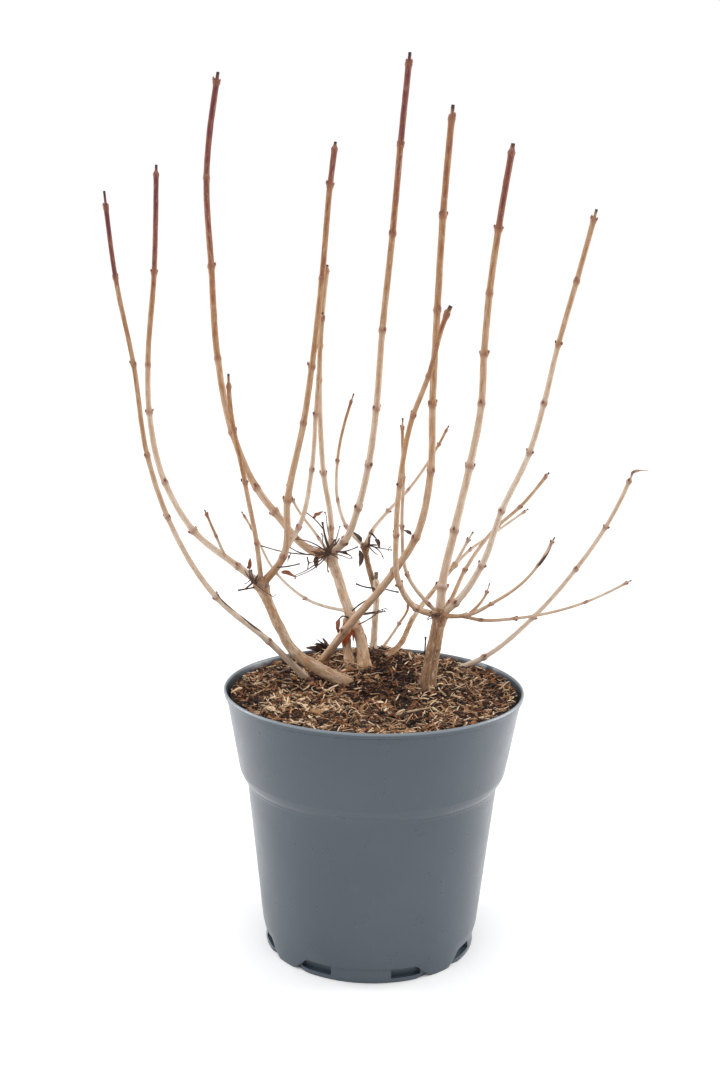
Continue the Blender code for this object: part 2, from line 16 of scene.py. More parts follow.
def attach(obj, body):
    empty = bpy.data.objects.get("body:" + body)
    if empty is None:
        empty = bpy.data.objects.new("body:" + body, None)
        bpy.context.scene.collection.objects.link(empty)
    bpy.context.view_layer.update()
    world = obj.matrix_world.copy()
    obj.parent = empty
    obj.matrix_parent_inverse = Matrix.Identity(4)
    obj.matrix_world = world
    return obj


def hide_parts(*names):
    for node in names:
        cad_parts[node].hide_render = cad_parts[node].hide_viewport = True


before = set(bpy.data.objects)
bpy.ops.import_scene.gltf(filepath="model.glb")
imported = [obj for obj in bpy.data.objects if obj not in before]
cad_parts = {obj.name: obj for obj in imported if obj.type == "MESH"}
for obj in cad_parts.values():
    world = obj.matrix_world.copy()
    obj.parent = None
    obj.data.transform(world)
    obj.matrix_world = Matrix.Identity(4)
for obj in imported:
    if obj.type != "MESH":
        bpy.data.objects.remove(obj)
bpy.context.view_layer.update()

bl_info = {
    "name": "Snowball viburnum in a pot",
    "version": (1, 0, 0),
    "blender": (4, 5, 0),
    "location": "3D Viewport > Sidebar > Shrub",
    "description": "Builds a bare potted shrub with its bark, buds, dry stalks and mulch",
    "category": "Add Mesh",
}

# How the limbs run and thicken, as in the solids
ROOT_FLARE = 0.35
ROOT_FLARE_HEIGHT = 0.01
LEAN_EARLY = 1.5
TAPER_EARLY = 2.0
PATH_STEP = 0.002
KNUCKLE_NECK = -1.6
KNUCKLE_RINGS = ((-0.75, 0.8), (0.0, 1.0), (0.6, 0.8), (0.92, 0.4))
# How far a rooted limb goes on under the surface, and how steeply it dives there
ROOT_COVER = 0.012
ROOT_DIVE = 1.3

# The mound of the medium, the mulch drawn up at the wall, and its collar round a stem
MOUND_RISE = 0.019
MOUND_BACK = 0.065
MOUND_SPREAD = 0.045
MULCH_COVER = 0.0058
COLLAR_RISE = 0.0030
COLLAR_SPREAD = 0.010

# The foot of the pot: its arches, the ring inside them, and the pairs of holes in that
# ring, by their degrees from an arch's middle, heights, radii and how far they go in
ARCHES = 4
ARCH_SLOPE = 2.4
ARCH_BIAS = 2.2
ARCH_TURN = math.radians(-5.0)
ARCH_REACH_OUTSIDE = 0.022
ARCH_REACH_INSIDE = 0.0135
RING_RADII = (0.0932, 0.0948)
RING_TOP = 0.014
RING_FLUSH = 0.0957
RING_SLOPE = 0.11
DRAIN_TURNS = (16.0, 34.0)
DRAIN_HEIGHTS = (0.004, 0.012)
DRAIN_RADII = (0.093, 0.0975)
DRAIN_DEPTH = 0.90

# How the mulch lies: its pale patch and its damp patch as (x, y, spread), and the
# share of each tone with how fast it grows where the mulch is light
PALE_PATCH = (-0.062, -0.030, 0.0016)
DAMP_PATCH = (0.028, -0.012, 0.0013)
MULCH_TONES = {"straw": (0.15, 2.2), "tan": (0.17, 1.1), "orange": (0.20, 0.2),
               "brown": (0.20, -0.8), "dark": (0.28, -1.6)}
MULCH_RADIUS = 0.1310
WALL_GAP = 0.0008

# The spacing of a limb's rings on a stem and on a cane, and closer at a leaf node,
# on a knuckle and at a cut end, with how far those reach
STEM_STEP = 0.0014
CANE_STEP = 0.0028
NODE_STEP = 0.0006
NODE_REACH = 0.0050
KNUCKLE_STEP = 0.0007
END_STEP = 0.0005
END_REACH = 0.003
LEAST_STEP = 0.0004

# How a limb thickens where it starts, how a node swells and how far the colour of the
# foot reaches; the share of buds that are gone and the share that are dead
BRANCH_FLARE = 0.35
NODE_BODY = 0.72
NODE_SEATS = 0.95
STEM_NODES = 0.3
FOOT_COLOUR_REACH = 0.012
STEM_FOOT_DARKER = 0.07
CANE_FOOT_DARKER = 0.24
BUDS_GONE = 0.12
BUDS_DEAD = 0.05

# Seeds of the random numbers
MULCH_SEED = 5
BUD_SEED = 17
LITTER_SEED = 23
STALK_SEED = 11

# The matrix of a copy that stays where it was built
STILL = Matrix.Identity(4)

# Angles below which an edge is shaded smooth
SMOOTH = math.radians(40)
SMOOTH_POT = math.radians(32)
SMOOTH_SHRED = math.radians(50)
SMOOTH_BARK = math.radians(70)

# The photograph's height in pixels, and the sensor's longer side in millimetres
FRAME_HEIGHT = 1080.0
SENSOR = 36.0

# The wide overhead light, and the two lamps at the sides with the point they face
SUN_POWER = 0.6
SUN_WIDTH = math.radians(70)
SUN_TURN = (math.radians(22), math.radians(-12), 0.0)
LAMP_WIDTH = 0.9
LAMP_HEIGHT = 1.5
LAMPS = {(-1.6, 0.45, 0.55): 22.0, (1.6, 0.45, 0.55): 26.0}
LAMPS_FACE = Vector((0.0, 0.0, 0.3))


def mm(*values):
    """Millimetres as metres."""
    return tuple(round(value / 1000, 7) for value in values)


# A limb rises from the medium, or from another limb at a share of its length.
# It passes its leaf nodes at the (x, z) places listed, the last one its tip,
# and leans evenly towards tip_y. foot is (x, y) in the medium, or that share.
# stub is the length of dried wood above its last buds, narrower by a share.
# tint says how far it has coloured at its foot and its tip. On a cane 0 is pale
# straw, 0.45 tan, 0.64 orange brown, 0.82 red brown and 1 purple. On a stem 0 is
# dark brown, 0.5 tan and 1 pale grey tan
Limb = namedtuple(
    "Limb", "name grows_from foot tip_y nodes foot_radius tip_radius tint knuckle early stub narrows")


def limb(name, grows_from, foot, tip_y, nodes, radii, tint,
         knuckle=0.0, early=LEAN_EARLY, stub=6.0, narrows=0.45):
    """One row of the table of limbs, which is in millimetres."""
    foot = mm(*foot) if grows_from is None else foot
    nodes = [mm(*node) for node in nodes]
    return Limb(name, grows_from, foot, *mm(tip_y), nodes, *mm(*radii), tint,
                *mm(knuckle), early, *mm(stub), narrows)


STEMS = [
    limb("stem_left", None, (-26, 13), 5, [(-51, 256), (-71, 270), (-86, 295), (-97, 321),
          (-102, 334)], (5.6, 4.3), (0.68, 0.64), knuckle=7.5),
    limb("stem_centre", None, (-9, 38), 80, [(-15, 280), (-24, 297), (-37, 332), (-43, 347)],
         (5.4, 4.7), (0.66, 0.74), knuckle=7.5),
    limb("stem_centre_side", None, (-21, 41), 63, [(-26, 269), (-25, 294)],
         (4.3, 3.8), (0.62, 0.52)),
    limb("stem_back", None, (0, 88), 95, [(1, 282), (2, 302), (1, 324)], (3.2, 2.9), (1.10, 0.95)),
    limb("bough_back", "stem_back", 0.8, 105, [(-6, 332), (-10, 351)],
         (2.9, 2.6), (0.12, 0.42), knuckle=4.5),
    limb("bough_right_back", None, (8, 52), 125, [(26, 264), (37, 283), (54, 303), (79, 331)],
         (2.7, 2.2), (0.40, 0.75), knuckle=3.5),
    limb("stem_right", None, (48, 9), 15, [(54, 276), (59, 306)], (7, 6), (0.27, 0.36), knuckle=8),
]

CANES = [
    limb("cane_far_left", None, (-61, 27), -140, [(-95, 284), (-138, 331), (-173, 406), (-185, 459),
          (-190, 531), (-199, 595), (-204, 656)], (3.2, 1.7), (0.10, 0.95), stub=12),
    limb("cane_left", "stem_left", 1.0, 50, [(-123, 349), (-163, 379), (-189, 421), (-203, 482),
          (-204, 523), (-198, 602), (-195, 692)], (3.1, 2.2), (0.08, 0.96), stub=8.5),
    limb("twig_left", "cane_left", 0.1, -10, [(-141, 378), (-150, 403)], (1.6, 1.1), (0.20, 0.70)),
    limb("cane_left_inner", "stem_left", 1.0, -40, [(-82, 361), (-78, 412), (-64, 480), (-57, 527),
          (-49, 598), (-43, 670), (-39, 703)], (3.3, 2.3), (0.42, 0.82), stub=6),
    limb("cane_left_front", "stem_left", 1.0, -110, [(-103, 379), (-109, 436), (-118, 515),
          (-118, 525)], (2.3, 1.8), (0.40, 0.68)),
    limb("cane_left_inner_side", "cane_left_inner", 0.11, 25, [(-69, 386), (-58, 436), (-55, 483),
          (-50, 571)], (2.2, 1.9), (0.10, 0.52)),
    limb("cane_back_left", "stem_centre", 1.0, 170, [(-54, 348), (-96, 384), (-114, 406),
          (-138, 457), (-153, 525), (-160, 610), (-165, 691), (-154, 786)],
         (3.6, 2.8), (0.34, 1.00), stub=9.5),
    limb("cane_tallest", "stem_centre", 1.0, 20, [(-30, 360), (-17, 394), (-8, 435), (-2, 487),
          (2, 556), (9, 637), (14, 708), (20, 780)], (3.3, 2.6), (0.15, 0.96), stub=9),
    limb("cane_centre_back", "stem_centre", 1.0, 120, [(-42, 372), (-50, 422), (-55, 508),
          (-55, 539), (-49, 613)], (2.6, 2.3), (0.22, 0.50)),
    limb("cane_centre_short", "stem_centre", 1.0, 130, [(-54, 360), (-80, 391), (-87, 407)],
         (1.6, 1.2), (0.08, 0.42)),
    limb("cane_low_left", "stem_centre", 0.5, 120, [(-66, 303), (-95, 324), (-120, 365),
          (-130, 381)], (1.6, 1.2), (-0.06, 0.20)),
    limb("cane_back_right", "bough_back", 1.0, 180, [(-4, 363), (12, 381), (32, 400), (62, 442),
          (72, 461)], (2, 1.3), (0.10, 0.55)),
    limb("cane_back_middle", "bough_back", 1.0, 155, [(-28, 368), (-37, 392), (-38, 428),
          (-26, 484), (-23, 493)], (1.8, 1.4), (0.00, 0.70)),
    limb("cane_cross", None, (-49, 72), -90, [(-27, 285), (16, 352), (33, 385), (43, 446),
          (42, 501), (43, 575), (45, 645), (50, 725)], (4, 2.5), (0.40, 0.70), early=2.6, stub=10),
    limb("sprig_back", None, (6, 104), 135, [(25, 270), (34, 286), (29, 299)],
         (1.5, 1.2), (0.05, 0.68)),
    limb("cane_right_back_long", "bough_right_back", 1.0, 170, [(94, 343), (115, 355), (154, 380)],
         (1.6, 1.2), (0.12, 0.20)),
    limb("cane_right_back_short", "bough_right_back", 1.0, 130, [(91, 354), (96, 363)],
         (1.8, 1.5), (0.05, 0.15)),
    limb("cane_right_upright", "stem_right", 1.0, 50, [(60, 331), (70, 382), (82, 439), (91, 494),
          (92, 537), (95, 589), (101, 643), (111, 714)],
         (4, 2.8), (0.17, 0.88), stub=8, narrows=0.30),
    limb("cane_right", "stem_right", 1.0, -60, [(72, 319), (93, 356), (107, 407), (127, 459),
          (136, 501), (144, 549), (155, 599), (167, 654)], (3.2, 2.1), (0.08, 0.56), stub=9),
    limb("cane_front", "stem_right", 1.0, -170, [(36, 318), (20, 345), (15, 395), (16, 441),
          (24, 498), (34, 528), (45, 572), (48, 579)],
         (2.9, 1.9), (0.36, 0.67), stub=9, narrows=0.10),
    limb("cane_inner_front", "stem_right", 1.0, -15, [(48, 317), (28, 345), (22, 389), (22, 432),
          (20, 476), (20, 485)], (1.9, 1.4), (0.12, 0.45)),
    limb("cane_right_behind", "stem_right", 1.0, 100, [(67, 315), (82, 341), (114, 378), (135, 394),
          (163, 426)], (2.1, 1.6), (0.40, 0.34)),
    limb("cane_right_low", "stem_right", 1.0, -130, [(78, 314), (97, 334), (127, 380), (137, 405)],
         (2.3, 1.1), (0.40, 0.28)),
    limb("twig_right_low", "cane_right_low", 0.24, -10, [(97, 333), (100, 342)],
         (1.5, 1.1), (0.42, 0.34)),
    limb("cane_right_level", "cane_right_low", 0.18, -50, [(92, 311), (121, 315), (179, 334),
          (216, 355)], (1.6, 1.1), (0.30, 0.16)),
    limb("cane_far_right", None, (79, 75), 90, [(106, 250), (152, 289), (191, 336), (217, 376),
          (237, 420), (240, 429)], (2.6, 2), (0.00, 0.26)),
]
ROOTED = [row.foot for row in STEMS + CANES if row.grows_from is None]
# A split along a cane, a shallow groove whose dark colour paints the shade inside it: where it starts
# and ends, and the side that it faces
SPLITS = {"cane_far_left": (0.072, 0.166, Vector((0.42, -0.42, 0.80)))}
# A pale ring of torn bark round a cane, at a distance from its foot
TORN = {"cane_right_upright": 0.027, "cane_right": 0.030}

# A mass of dry flower stalks stands on a limb at a share of its length. side
# turns its spur round the limb, seen from above with 0 towards the front.
StalkMass = namedtuple("StalkMass", "name stands_on share side stalks reach")

STALK_MASSES = [
    StalkMass("stalks_left", "stem_left", 1.0, math.radians(-40), 9, 0.026),
    StalkMass("stalks_centre", "stem_centre", 1.0, math.radians(-8), 16, 0.042),
    StalkMass("stalks_centre_back", "stem_centre", 1.0, math.radians(165), 10, 0.036),
    StalkMass("stalks_trunk", "stem_centre", 0.45, math.radians(75), 8, 0.028),
    StalkMass("stalks_back", "bough_back", 1.0, math.radians(30), 9, 0.024),
    StalkMass("stalks_right", "stem_right", 1.0, math.radians(-15), 6, 0.016),
]
STALK_SWAY = 0.16
STALK_FAN = (1.1, 0.7, 1.5)
SPUR_LENGTH = 0.006
SPUR_CROWN = 0.003
SPUR_LIFT = 0.35
SPUR_RADII = (0.0022, 0.0018, 0.0014, 0.0008)


def length(name, description, default, least=0.0):
    """The property of a length in metres."""
    return FloatProperty(name=name, description=description, default=default, min=least, unit="LENGTH")


def paint(name, description, default):
    """The property of a colour."""
    return FloatVectorProperty(
        name=name, description=description, default=default, subtype="COLOR", min=0.0, max=1.0)


class PotSettings(PropertyGroup):
    """Sizes and colours of the pot."""

    height: length("Height", "Height of the pot", 0.243, 0.1)
    rim_radius: length("Rim radius", "Radius of the rim", 0.135, 0.05)
    foot_radius: length("Foot radius", "Radius of the foot", 0.098, 0.04)
    wall: length("Wall", "Thickness of the wall", 0.002, 0.0005)
    arch_rise: length("Arch rise", "Height of the drainage arches", 0.013)
    colour: paint("Plastic", "Colour of the plastic", (0.036, 0.051, 0.068))
    scuff: paint("Scuffs", "Colour of the rubbed plastic", (0.13, 0.155, 0.18))
    # This colour paints a highlight along the top of the lip, where the lip catches the light
    lip_highlight: paint("Lip highlight", "Colour of the painted highlight on the lip", (0.34, 0.39, 0.43))
    speck: paint("Specks", "Colour of the dirt specks", (0.012, 0.010, 0.010))


class MulchSettings(PropertyGroup):
    """Amount, sizes and colours of the bark mulch."""

    level: length("Level", "Height of the mulch at the wall", 0.234)
    shreds: IntProperty(name="Shreds", description="Number of shreds", default=6200, min=0)
    chips: IntProperty(name="Chips", description="Number of flat chips", default=1300, min=0)
    fibres: IntProperty(name="Fibres", description="Number of fine fibres", default=1300, min=0)
    bed: paint("Bed", "Colour between the shreds", (0.010, 0.006, 0.005))
    straw: paint("Straw", "Palest shreds", (0.86, 0.64, 0.42))
    tan: paint("Tan", "Tan shreds", (0.47, 0.265, 0.135))
    orange: paint("Orange", "Orange shreds", (0.33, 0.135, 0.055))
    brown: paint("Brown", "Brown shreds", (0.115, 0.055, 0.034))
    dark: paint("Dark", "Darkest shreds", (0.026, 0.015, 0.012))


class BarkSettings(PropertyGroup):
    """Relief and colours of the stems and canes."""

    relief: length("Relief", "Depth of the bark's relief", 0.00030)
    node_swelling: FloatProperty(
        name="Node swelling", description="How far a leaf node swells", subtype="FACTOR",
        default=0.22, min=0.0)
    old: paint("Old bark", "Bark of the stems", (0.40, 0.228, 0.122))
    old_pale: paint("Pale patches", "Weathered bark of the stems", (0.64, 0.51, 0.39))
    old_dark: paint("Dark bark", "Darkest bark and its cracks", (0.115, 0.064, 0.036))
    straw: paint("Straw", "Lowest wood of a cane", (0.57, 0.475, 0.385))
    tan: paint("Tan", "Middle wood of a cane", (0.390, 0.246, 0.150))
    orange: paint("Orange brown", "Wood above the middle", (0.290, 0.148, 0.064))
    red: paint("Red brown", "Upper wood", (0.195, 0.066, 0.042))
    purple: paint("Purple", "Newest wood", (0.105, 0.024, 0.029))
    node: paint("Nodes", "Colour round the leaf nodes", (0.215, 0.092, 0.056))
    pore: paint("Pores", "Colour of a cane's pores", (0.11, 0.05, 0.035))
    bud: paint("Buds", "Colour of the buds", (0.26, 0.105, 0.072))
    # The colour of the cut ends also paints the shade in the groove of a split along a cane
    cut: paint("Cut ends", "Colour of the dried cut ends", (0.045, 0.030, 0.026))


class StalkSettings(PropertyGroup):
    """Sizes and colours of the dry stalks and leaves."""

    thickness: length("Thickness", "Radius of a dry stalk", 0.00048, 0.0001)
    stalk: paint("Stalk", "Colour of the dry stalks", (0.120, 0.066, 0.046))
    dark: paint("Dark leaf", "Colour of the shrivelled leaves", (0.080, 0.040, 0.027))
    rust: paint("Rust leaf", "Colour of the rust-brown leaves", (0.26, 0.085, 0.035))
    red: paint("Red leaf", "Colour of the red leaf on the trunk", (0.42, 0.085, 0.022))
    tan: paint("Tan leaf", "Colour of the palest leaf", (0.42, 0.27, 0.17))
    grey: paint("Grey twigs", "Colour of the broken stubs", (0.21, 0.165, 0.135))
    straw: paint("Pale twigs", "Colour of the twigs on the mulch", (0.56, 0.40, 0.26))
    bark: paint("Root", "Colour of the root piece on the mulch", (0.27, 0.155, 0.09))


class StageSettings(PropertyGroup):
    """Floor, light and camera."""

    floor: paint("Floor", "Colour of the floor", (0.94, 0.94, 0.94))
    camera_place: FloatVectorProperty(
        name="Camera", description="Place of the camera", subtype="XYZ", unit="LENGTH",
        default=(-0.0135, -1.132, 0.5829))
    pitch: FloatProperty(
        name="Pitch", description="How far the camera looks down", subtype="ANGLE",
        default=math.radians(13.785))
    roll: FloatProperty(
        name="Roll", description="Turn of the camera about its view", subtype="ANGLE",
        default=math.radians(0.933))
    focal_pixels: FloatProperty(
        name="Focal length", description="Focal length in pixels of the frame", subtype="PIXEL",
        default=1305.4)
    level_pixels: FloatProperty(
        name="Level", description="Height of the optical centre in the frame, from the top",
        subtype="PIXEL", default=618.8)


class Web:
    """Adds nodes to a node tree and links them."""

    def __init__(self, tree):
        self.tree = tree

    def put(self, socket, value):
        """Link the socket to a value that is a socket itself, or else set it."""
        if isinstance(value, NodeSocket):
            self.tree.links.new(value, socket)
        else:
            socket.default_value = value

    def add(self, kind, inputs=None, **settings):
        """A node with its settings and its inputs."""
        made = self.tree.nodes.new(kind)
        for key, value in settings.items():
            setattr(made, key, value)
        for key, value in (inputs or {}).items():
            self.put(made.inputs[key], value)
        return made

    def place(self):
        """The coordinates of the object."""
        return self.add("ShaderNodeTexCoord").outputs["Object"]

    def group(self, group, **inputs):
        """The outputs of a node group with its own inputs."""
        return self.add("ShaderNodeGroup", inputs, node_tree=group).outputs

    def noise(self, vector, scale, detail=3.0, roughness=0.55, distortion=0.0):
        """Noise between 0 and 1."""
        made = self.add("ShaderNodeTexNoise", {
            "Vector": vector, "Scale": scale, "Detail": detail,
            "Roughness": roughness, "Distortion": distortion})
        return made.outputs["Fac"]

    def dots(self, vector, scale, inner, outer, strength):
        """Scattered dots, from their full strength inside to 0 outside."""
        made = self.add("ShaderNodeTexVoronoi", {"Vector": vector, "Scale": scale, "Randomness": 1.0})
        return self.band(made.outputs["Distance"], inner, outer, strength, 0.0)

    def band(self, value, low, high, first=0.0, last=1.0):
        """The value's range from low to high, spread from first to last."""
        made = self.add("ShaderNodeMapRange", {
            "Value": value, "From Min": low, "From Max": high, "To Min": first, "To Max": last})
        return made.outputs["Result"]

    def ramp(self, value, stops):
        """Colours along the value."""
        made = self.add("ShaderNodeValToRGB", {"Fac": value})
        ramp = made.color_ramp
        while len(ramp.elements) < len(stops):
            ramp.elements.new(0.5)
        for element, (place, colour) in zip(ramp.elements, stops):
            element.position = place
            element.color = (*colour, 1.0)
        return made.outputs["Color"]

    def mix(self, share, first, second):
        """A colour between two."""
        ends = [end if isinstance(end, NodeSocket) else (*end, 1.0) for end in (first, second)]
        made = self.add("ShaderNodeMix", {0: share, 6: ends[0], 7: ends[1]}, data_type="RGBA")
        return made.outputs[2]

    def maths(self, operation, first, second, clamp=False):
        """Two values put together by an operation."""
        made = self.add("ShaderNodeMath", {0: first, 1: second}, operation=operation, use_clamp=clamp)
        return made.outputs[0]

    def times(self, first, second):
        """The product of two values."""
        return self.maths("MULTIPLY", first, second)

    def plus(self, first, second, clamp=False):
        """The sum of two values."""
        return self.maths("ADD", first, second, clamp)

    def minus(self, first, second):
        """The difference of two values."""
        return self.maths("SUBTRACT", first, second)

    def stretched(self, vector, along):
        """The coordinates scaled along the third axis."""
        made = self.add("ShaderNodeMapping", {"Vector": vector, "Scale": (1.0, 1.0, along)})
        return made.outputs["Vector"]

    def bump(self, height, distance, strength=1.0):
        """A normal from a height."""
        made = self.add("ShaderNodeBump", {"Height": height, "Distance": distance, "Strength": strength})
        return made.outputs["Normal"]

    def finish(self, colour, normal, roughness=None):
        """Link the looks to the material's shader."""
        sockets = self.tree.nodes["Principled BSDF"].inputs
        self.put(sockets["Base Color"], colour)
        self.put(sockets["Normal"], normal)
        if roughness is not None:
            self.put(sockets["Roughness"], roughness)


def shared_group(name, inputs, outputs, fill):
    """The shader node group of this name, made once and filled with its nodes."""
    found = bpy.data.node_groups.get(name)
    if found:
        return found
    group = bpy.data.node_groups.new(name, "ShaderNodeTree")
    for label, default in inputs.items():
        kind = "NodeSocketVector" if default is None else "NodeSocketFloat"
        socket = group.interface.new_socket(name=label, in_out="INPUT", socket_type=kind)
        if default is not None:
            socket.default_value = default
    for label in outputs:
        group.interface.new_socket(name=label, in_out="OUTPUT", socket_type="NodeSocketFloat")
    start = group.nodes.new("NodeGroupInput").outputs
    end = group.nodes.new("NodeGroupOutput").inputs
    web = Web(group)
    for label, value in fill(web, start).items():
        web.put(end[label], value)
    return group


def fill_grain(web, start):
    """The nodes of the lengthwise grain."""
    long_way = web.stretched(start["Vector"], 0.07)
    fine = web.noise(long_way, start["Scale"], 4.0, 0.6)
    broad = web.noise(long_way, web.times(start["Scale"], 0.3), 2.0, 0.5, 0.4)
    relief = web.plus(web.times(fine, 0.6), web.times(broad, 0.4))
    return {"Tone": web.band(broad, 0.32, 0.68), "Relief": relief}


def fill_patches(web, start):
    """The nodes of the weathered patches."""
    cloud = web.noise(start["Vector"], start["Scale"], 5.0, 0.62, 0.3)
    low = start["Threshold"]
    return {"Mask": web.band(cloud, low, web.plus(low, 0.07))}


def grain(web, place, scale):
    """Fibres along the third axis: a tone and a relief between 0 and 1."""
    inputs = {"Vector": None, "Scale": 400.0}
    group = shared_group("lengthwise_grain", inputs, ("Tone", "Relief"), fill_grain)
    return web.group(group, Vector=place, Scale=scale)


def patches(web, place, scale, threshold):
    """Irregular patches with fairly hard edges, as a mask."""
    inputs = {"Vector": None, "Scale": 60.0, "Threshold": 0.6}
    group = shared_group("weathered_patches", inputs, ("Mask",), fill_patches)
    return web.group(group, Vector=place, Scale=scale, Threshold=threshold)["Mask"]


def new_material(name, roughness, specular=0.5):
    """A material with its web of nodes."""
    material = bpy.data.materials.new(name)
    material.use_nodes = True
    sockets = material.node_tree.nodes["Principled BSDF"].inputs
    sockets["Roughness"].default_value = roughness
    sockets["Metallic"].default_value = 0.0
    sockets["Specular IOR Level"].default_value = specular
    return material, Web(material.node_tree)


def pot_material(pot):
    """Satin moulded plastic with faint rubbing, specks and dust, and a painted highlight along the top
    of the lip.
    """
    material, web = new_material("pot_plastic", 0.30, 0.62)
    place = web.place()
    rubbed = patches(web, place, 38.0, 0.66)
    streaks = web.band(web.noise(web.stretched(place, 0.10), 260.0, 4.0, 0.6), 0.62, 0.80, 0.0, 0.20)
    cloud = web.noise(place, 11.0)
    colour = web.mix(web.band(cloud, 0.3, 0.7, 0.0, 0.10), pot.colour, pot.scuff)
    colour = web.mix(web.times(rubbed, 0.10), colour, pot.scuff)
    colour = web.mix(streaks, colour, pot.scuff)
    few = web.band(web.noise(place, 24.0, 2.0), 0.64, 0.68)
    speck = web.times(web.dots(place, 260.0, 0.05, 0.10, 1.0), few)
    colour = web.mix(web.times(speck, 0.5), colour, pot.speck)
    # Painted highlight: the top of the lip is painted paler, towards the lip colour
    height = web.add("ShaderNodeSeparateXYZ", {"Vector": place}).outputs["Z"]
    lip_highlight = web.band(height, pot.height - 0.0022, pot.height - 0.0012, 0.0, 0.38)
    colour = web.mix(lip_highlight, colour, pot.lip_highlight)
    gloss = web.band(web.noise(place, 45.0, 4.0, 0.6), 0.3, 0.7, 0.26, 0.35)
    gloss = web.plus(gloss, web.times(rubbed, 0.08))
    dimples = web.times(web.noise(place, 900.0, 2.0), 0.10)
    height = web.plus(dimples, web.noise(place, 30.0, 2.0))
    web.finish(colour, web.bump(height, 0.00025, 0.5), gloss)
    return material


def bark_fields(web):
    """The bark's own coordinates and its growth, joint and cut masks."""
    made = [web.add("ShaderNodeAttribute", attribute_name="straight").outputs["Vector"]]
    for name in ("growth", "joint", "cut"):
        made.append(web.add("ShaderNodeAttribute", attribute_name=name).outputs["Fac"])
    return made


def mottled(web, age, blotch, blotch_reach, grain_tone, darker, paler):
    """The bark's growth, changed by its blotches and its grain."""
    tone = web.plus(age, web.band(blotch, 0.28, 0.72, -blotch_reach, blotch_reach))
    return web.plus(tone, web.band(grain_tone, 0.0, 1.0, darker, paler), clamp=True)


def stem_material(bark):
    """Old bark: brown to grey tan, with fine cracks along it and pale patches."""
    material, web = new_material("old_bark", 0.82, 0.25)
    place, age, knob, cut = bark_fields(web)
    fibres = grain(web, place, 2100.0)
    pale = patches(web, web.stretched(place, 0.40), 300.0, 0.54)
    cracks = web.noise(web.stretched(place, 0.12), 1700.0, 3.0, 0.6, 0.3)
    cracks = web.band(cracks, 0.34, 0.46, 1.0, 0.0)
    blotch = web.noise(web.stretched(place, 0.35), 170.0, 4.0, 0.6)
    tone = mottled(web, age, blotch, 0.24, fibres["Tone"], -0.07, 0.10)
    colour = web.ramp(tone, [(0.0, bark.old_dark), (0.5, bark.old), (1.0, bark.old_pale)])
    colour = web.mix(web.times(pale, 0.48), colour, bark.old_pale)
    colour = web.mix(web.times(knob, 0.45), colour, bark.node)
    colour = web.mix(web.times(cracks, 0.52), colour, bark.old_dark)
    colour = web.mix(cut, colour, bark.cut)
    height = web.minus(fibres["Relief"], web.times(cracks, 0.7))
    height = web.plus(height, web.times(pale, 0.25))
    web.finish(colour, web.bump(height, 0.0006, 0.9), web.band(pale, 0.0, 1.0, 0.86, 0.76))
    return material


def cane_material(bark):
    """Young bark that turns from straw to purple along the cane."""
    material, web = new_material("cane_bark", 0.58, 0.18)
    place, age, knob, cut = bark_fields(web)
    fibres = grain(web, place, 2600.0)
    blotch = web.noise(web.stretched(place, 0.22), 420.0, 4.0, 0.65)
    tone = mottled(web, age, blotch, 0.18, fibres["Tone"], -0.06, 0.09)
    colour = web.ramp(tone, [(0.0, bark.straw), (0.45, bark.tan), (0.64, bark.orange),
                             (0.82, bark.red), (1.0, bark.purple)])
    flakes = patches(web, web.stretched(place, 0.20), 520.0, 0.60)
    flaking = web.minus(web.band(age, 0.2, 0.7, 0.26, 0.38), web.band(age, 0.75, 1.0, 0.0, 0.14))
    colour = web.mix(web.times(flakes, flaking), colour, bark.straw)
    streaks = web.noise(web.stretched(place, 0.05), 2900.0, 2.0, 0.5)
    colour = web.mix(web.band(streaks, 0.30, 0.44, 0.46, 0.0), colour, bark.node)
    colour = web.mix(web.dots(web.stretched(place, 0.55), 700.0, 0.06, 0.13, 0.5), colour, bark.pore)
    colour = web.mix(web.times(knob, 0.62), colour, bark.node)
    # Cut ends, and the split along a cane painted dark as the shade in its groove
    colour = web.mix(cut, colour, bark.cut)
    height = web.plus(fibres["Relief"], web.times(flakes, 0.18))
    web.finish(colour, web.bump(height, 0.0004, 0.7), web.band(age, 0.0, 1.0, 0.68, 0.50))
    return material


def plain_wood_material(name, colour, roughness, shade=0.62, scale=900.0):
    """A plain colour with a fine fleck, for small joined things."""
    material, web = new_material(name, roughness, 0.3)
    fleck = web.noise(web.place(), scale, 3.0, 0.6)
    made = web.mix(web.band(fleck, 0.3, 0.7), [part * shade for part in colour], colour)
    web.finish(made, web.bump(fleck, 0.0002, 0.6))
    return material


def bed_material(mulch):
    """The fine dark mulch between the shreds."""
    material, web = new_material("mulch_bed", 0.95, 0.2)
    place = web.place()
    crumbs = web.noise(place, 420.0, 5.0, 0.7)
    clods = web.noise(place, 90.0, 3.0, 0.6)
    colour = web.mix(web.band(crumbs, 0.35, 0.72), mulch.bed, mulch.brown)
    colour = web.mix(web.band(clods, 0.35, 0.65, 0.0, 0.6), colour, mulch.bed)
    web.finish(colour, web.bump(crumbs, 0.0015))
    return material


def bent(start, middle, end, steps):
    """Points along a curve from start to end that middle pulls aside."""
    made = []
    for step in range(steps + 1):
        u = step / steps
        made.append((1 - u) ** 2 * start + 2 * u * (1 - u) * middle + u * u * end)
    return made


def rounded(profile, reach):
    """The section with each inner corner cut back to a short curve."""
    made = [profile[0]]
    for before, corner, after in zip(profile, profile[1:], profile[2:]):
        corner = Vector(corner)
        to_before = Vector(before) - corner
        to_after = Vector(after) - corner
        size = min(reach, 0.4 * to_before.length, 0.4 * to_after.length)
        first = corner + to_before.normalized() * size
        last = corner + to_after.normalized() * size
        made += [tuple(point) for point in bent(first, corner, last, 3)]
    made.append(profile[-1])
    return made


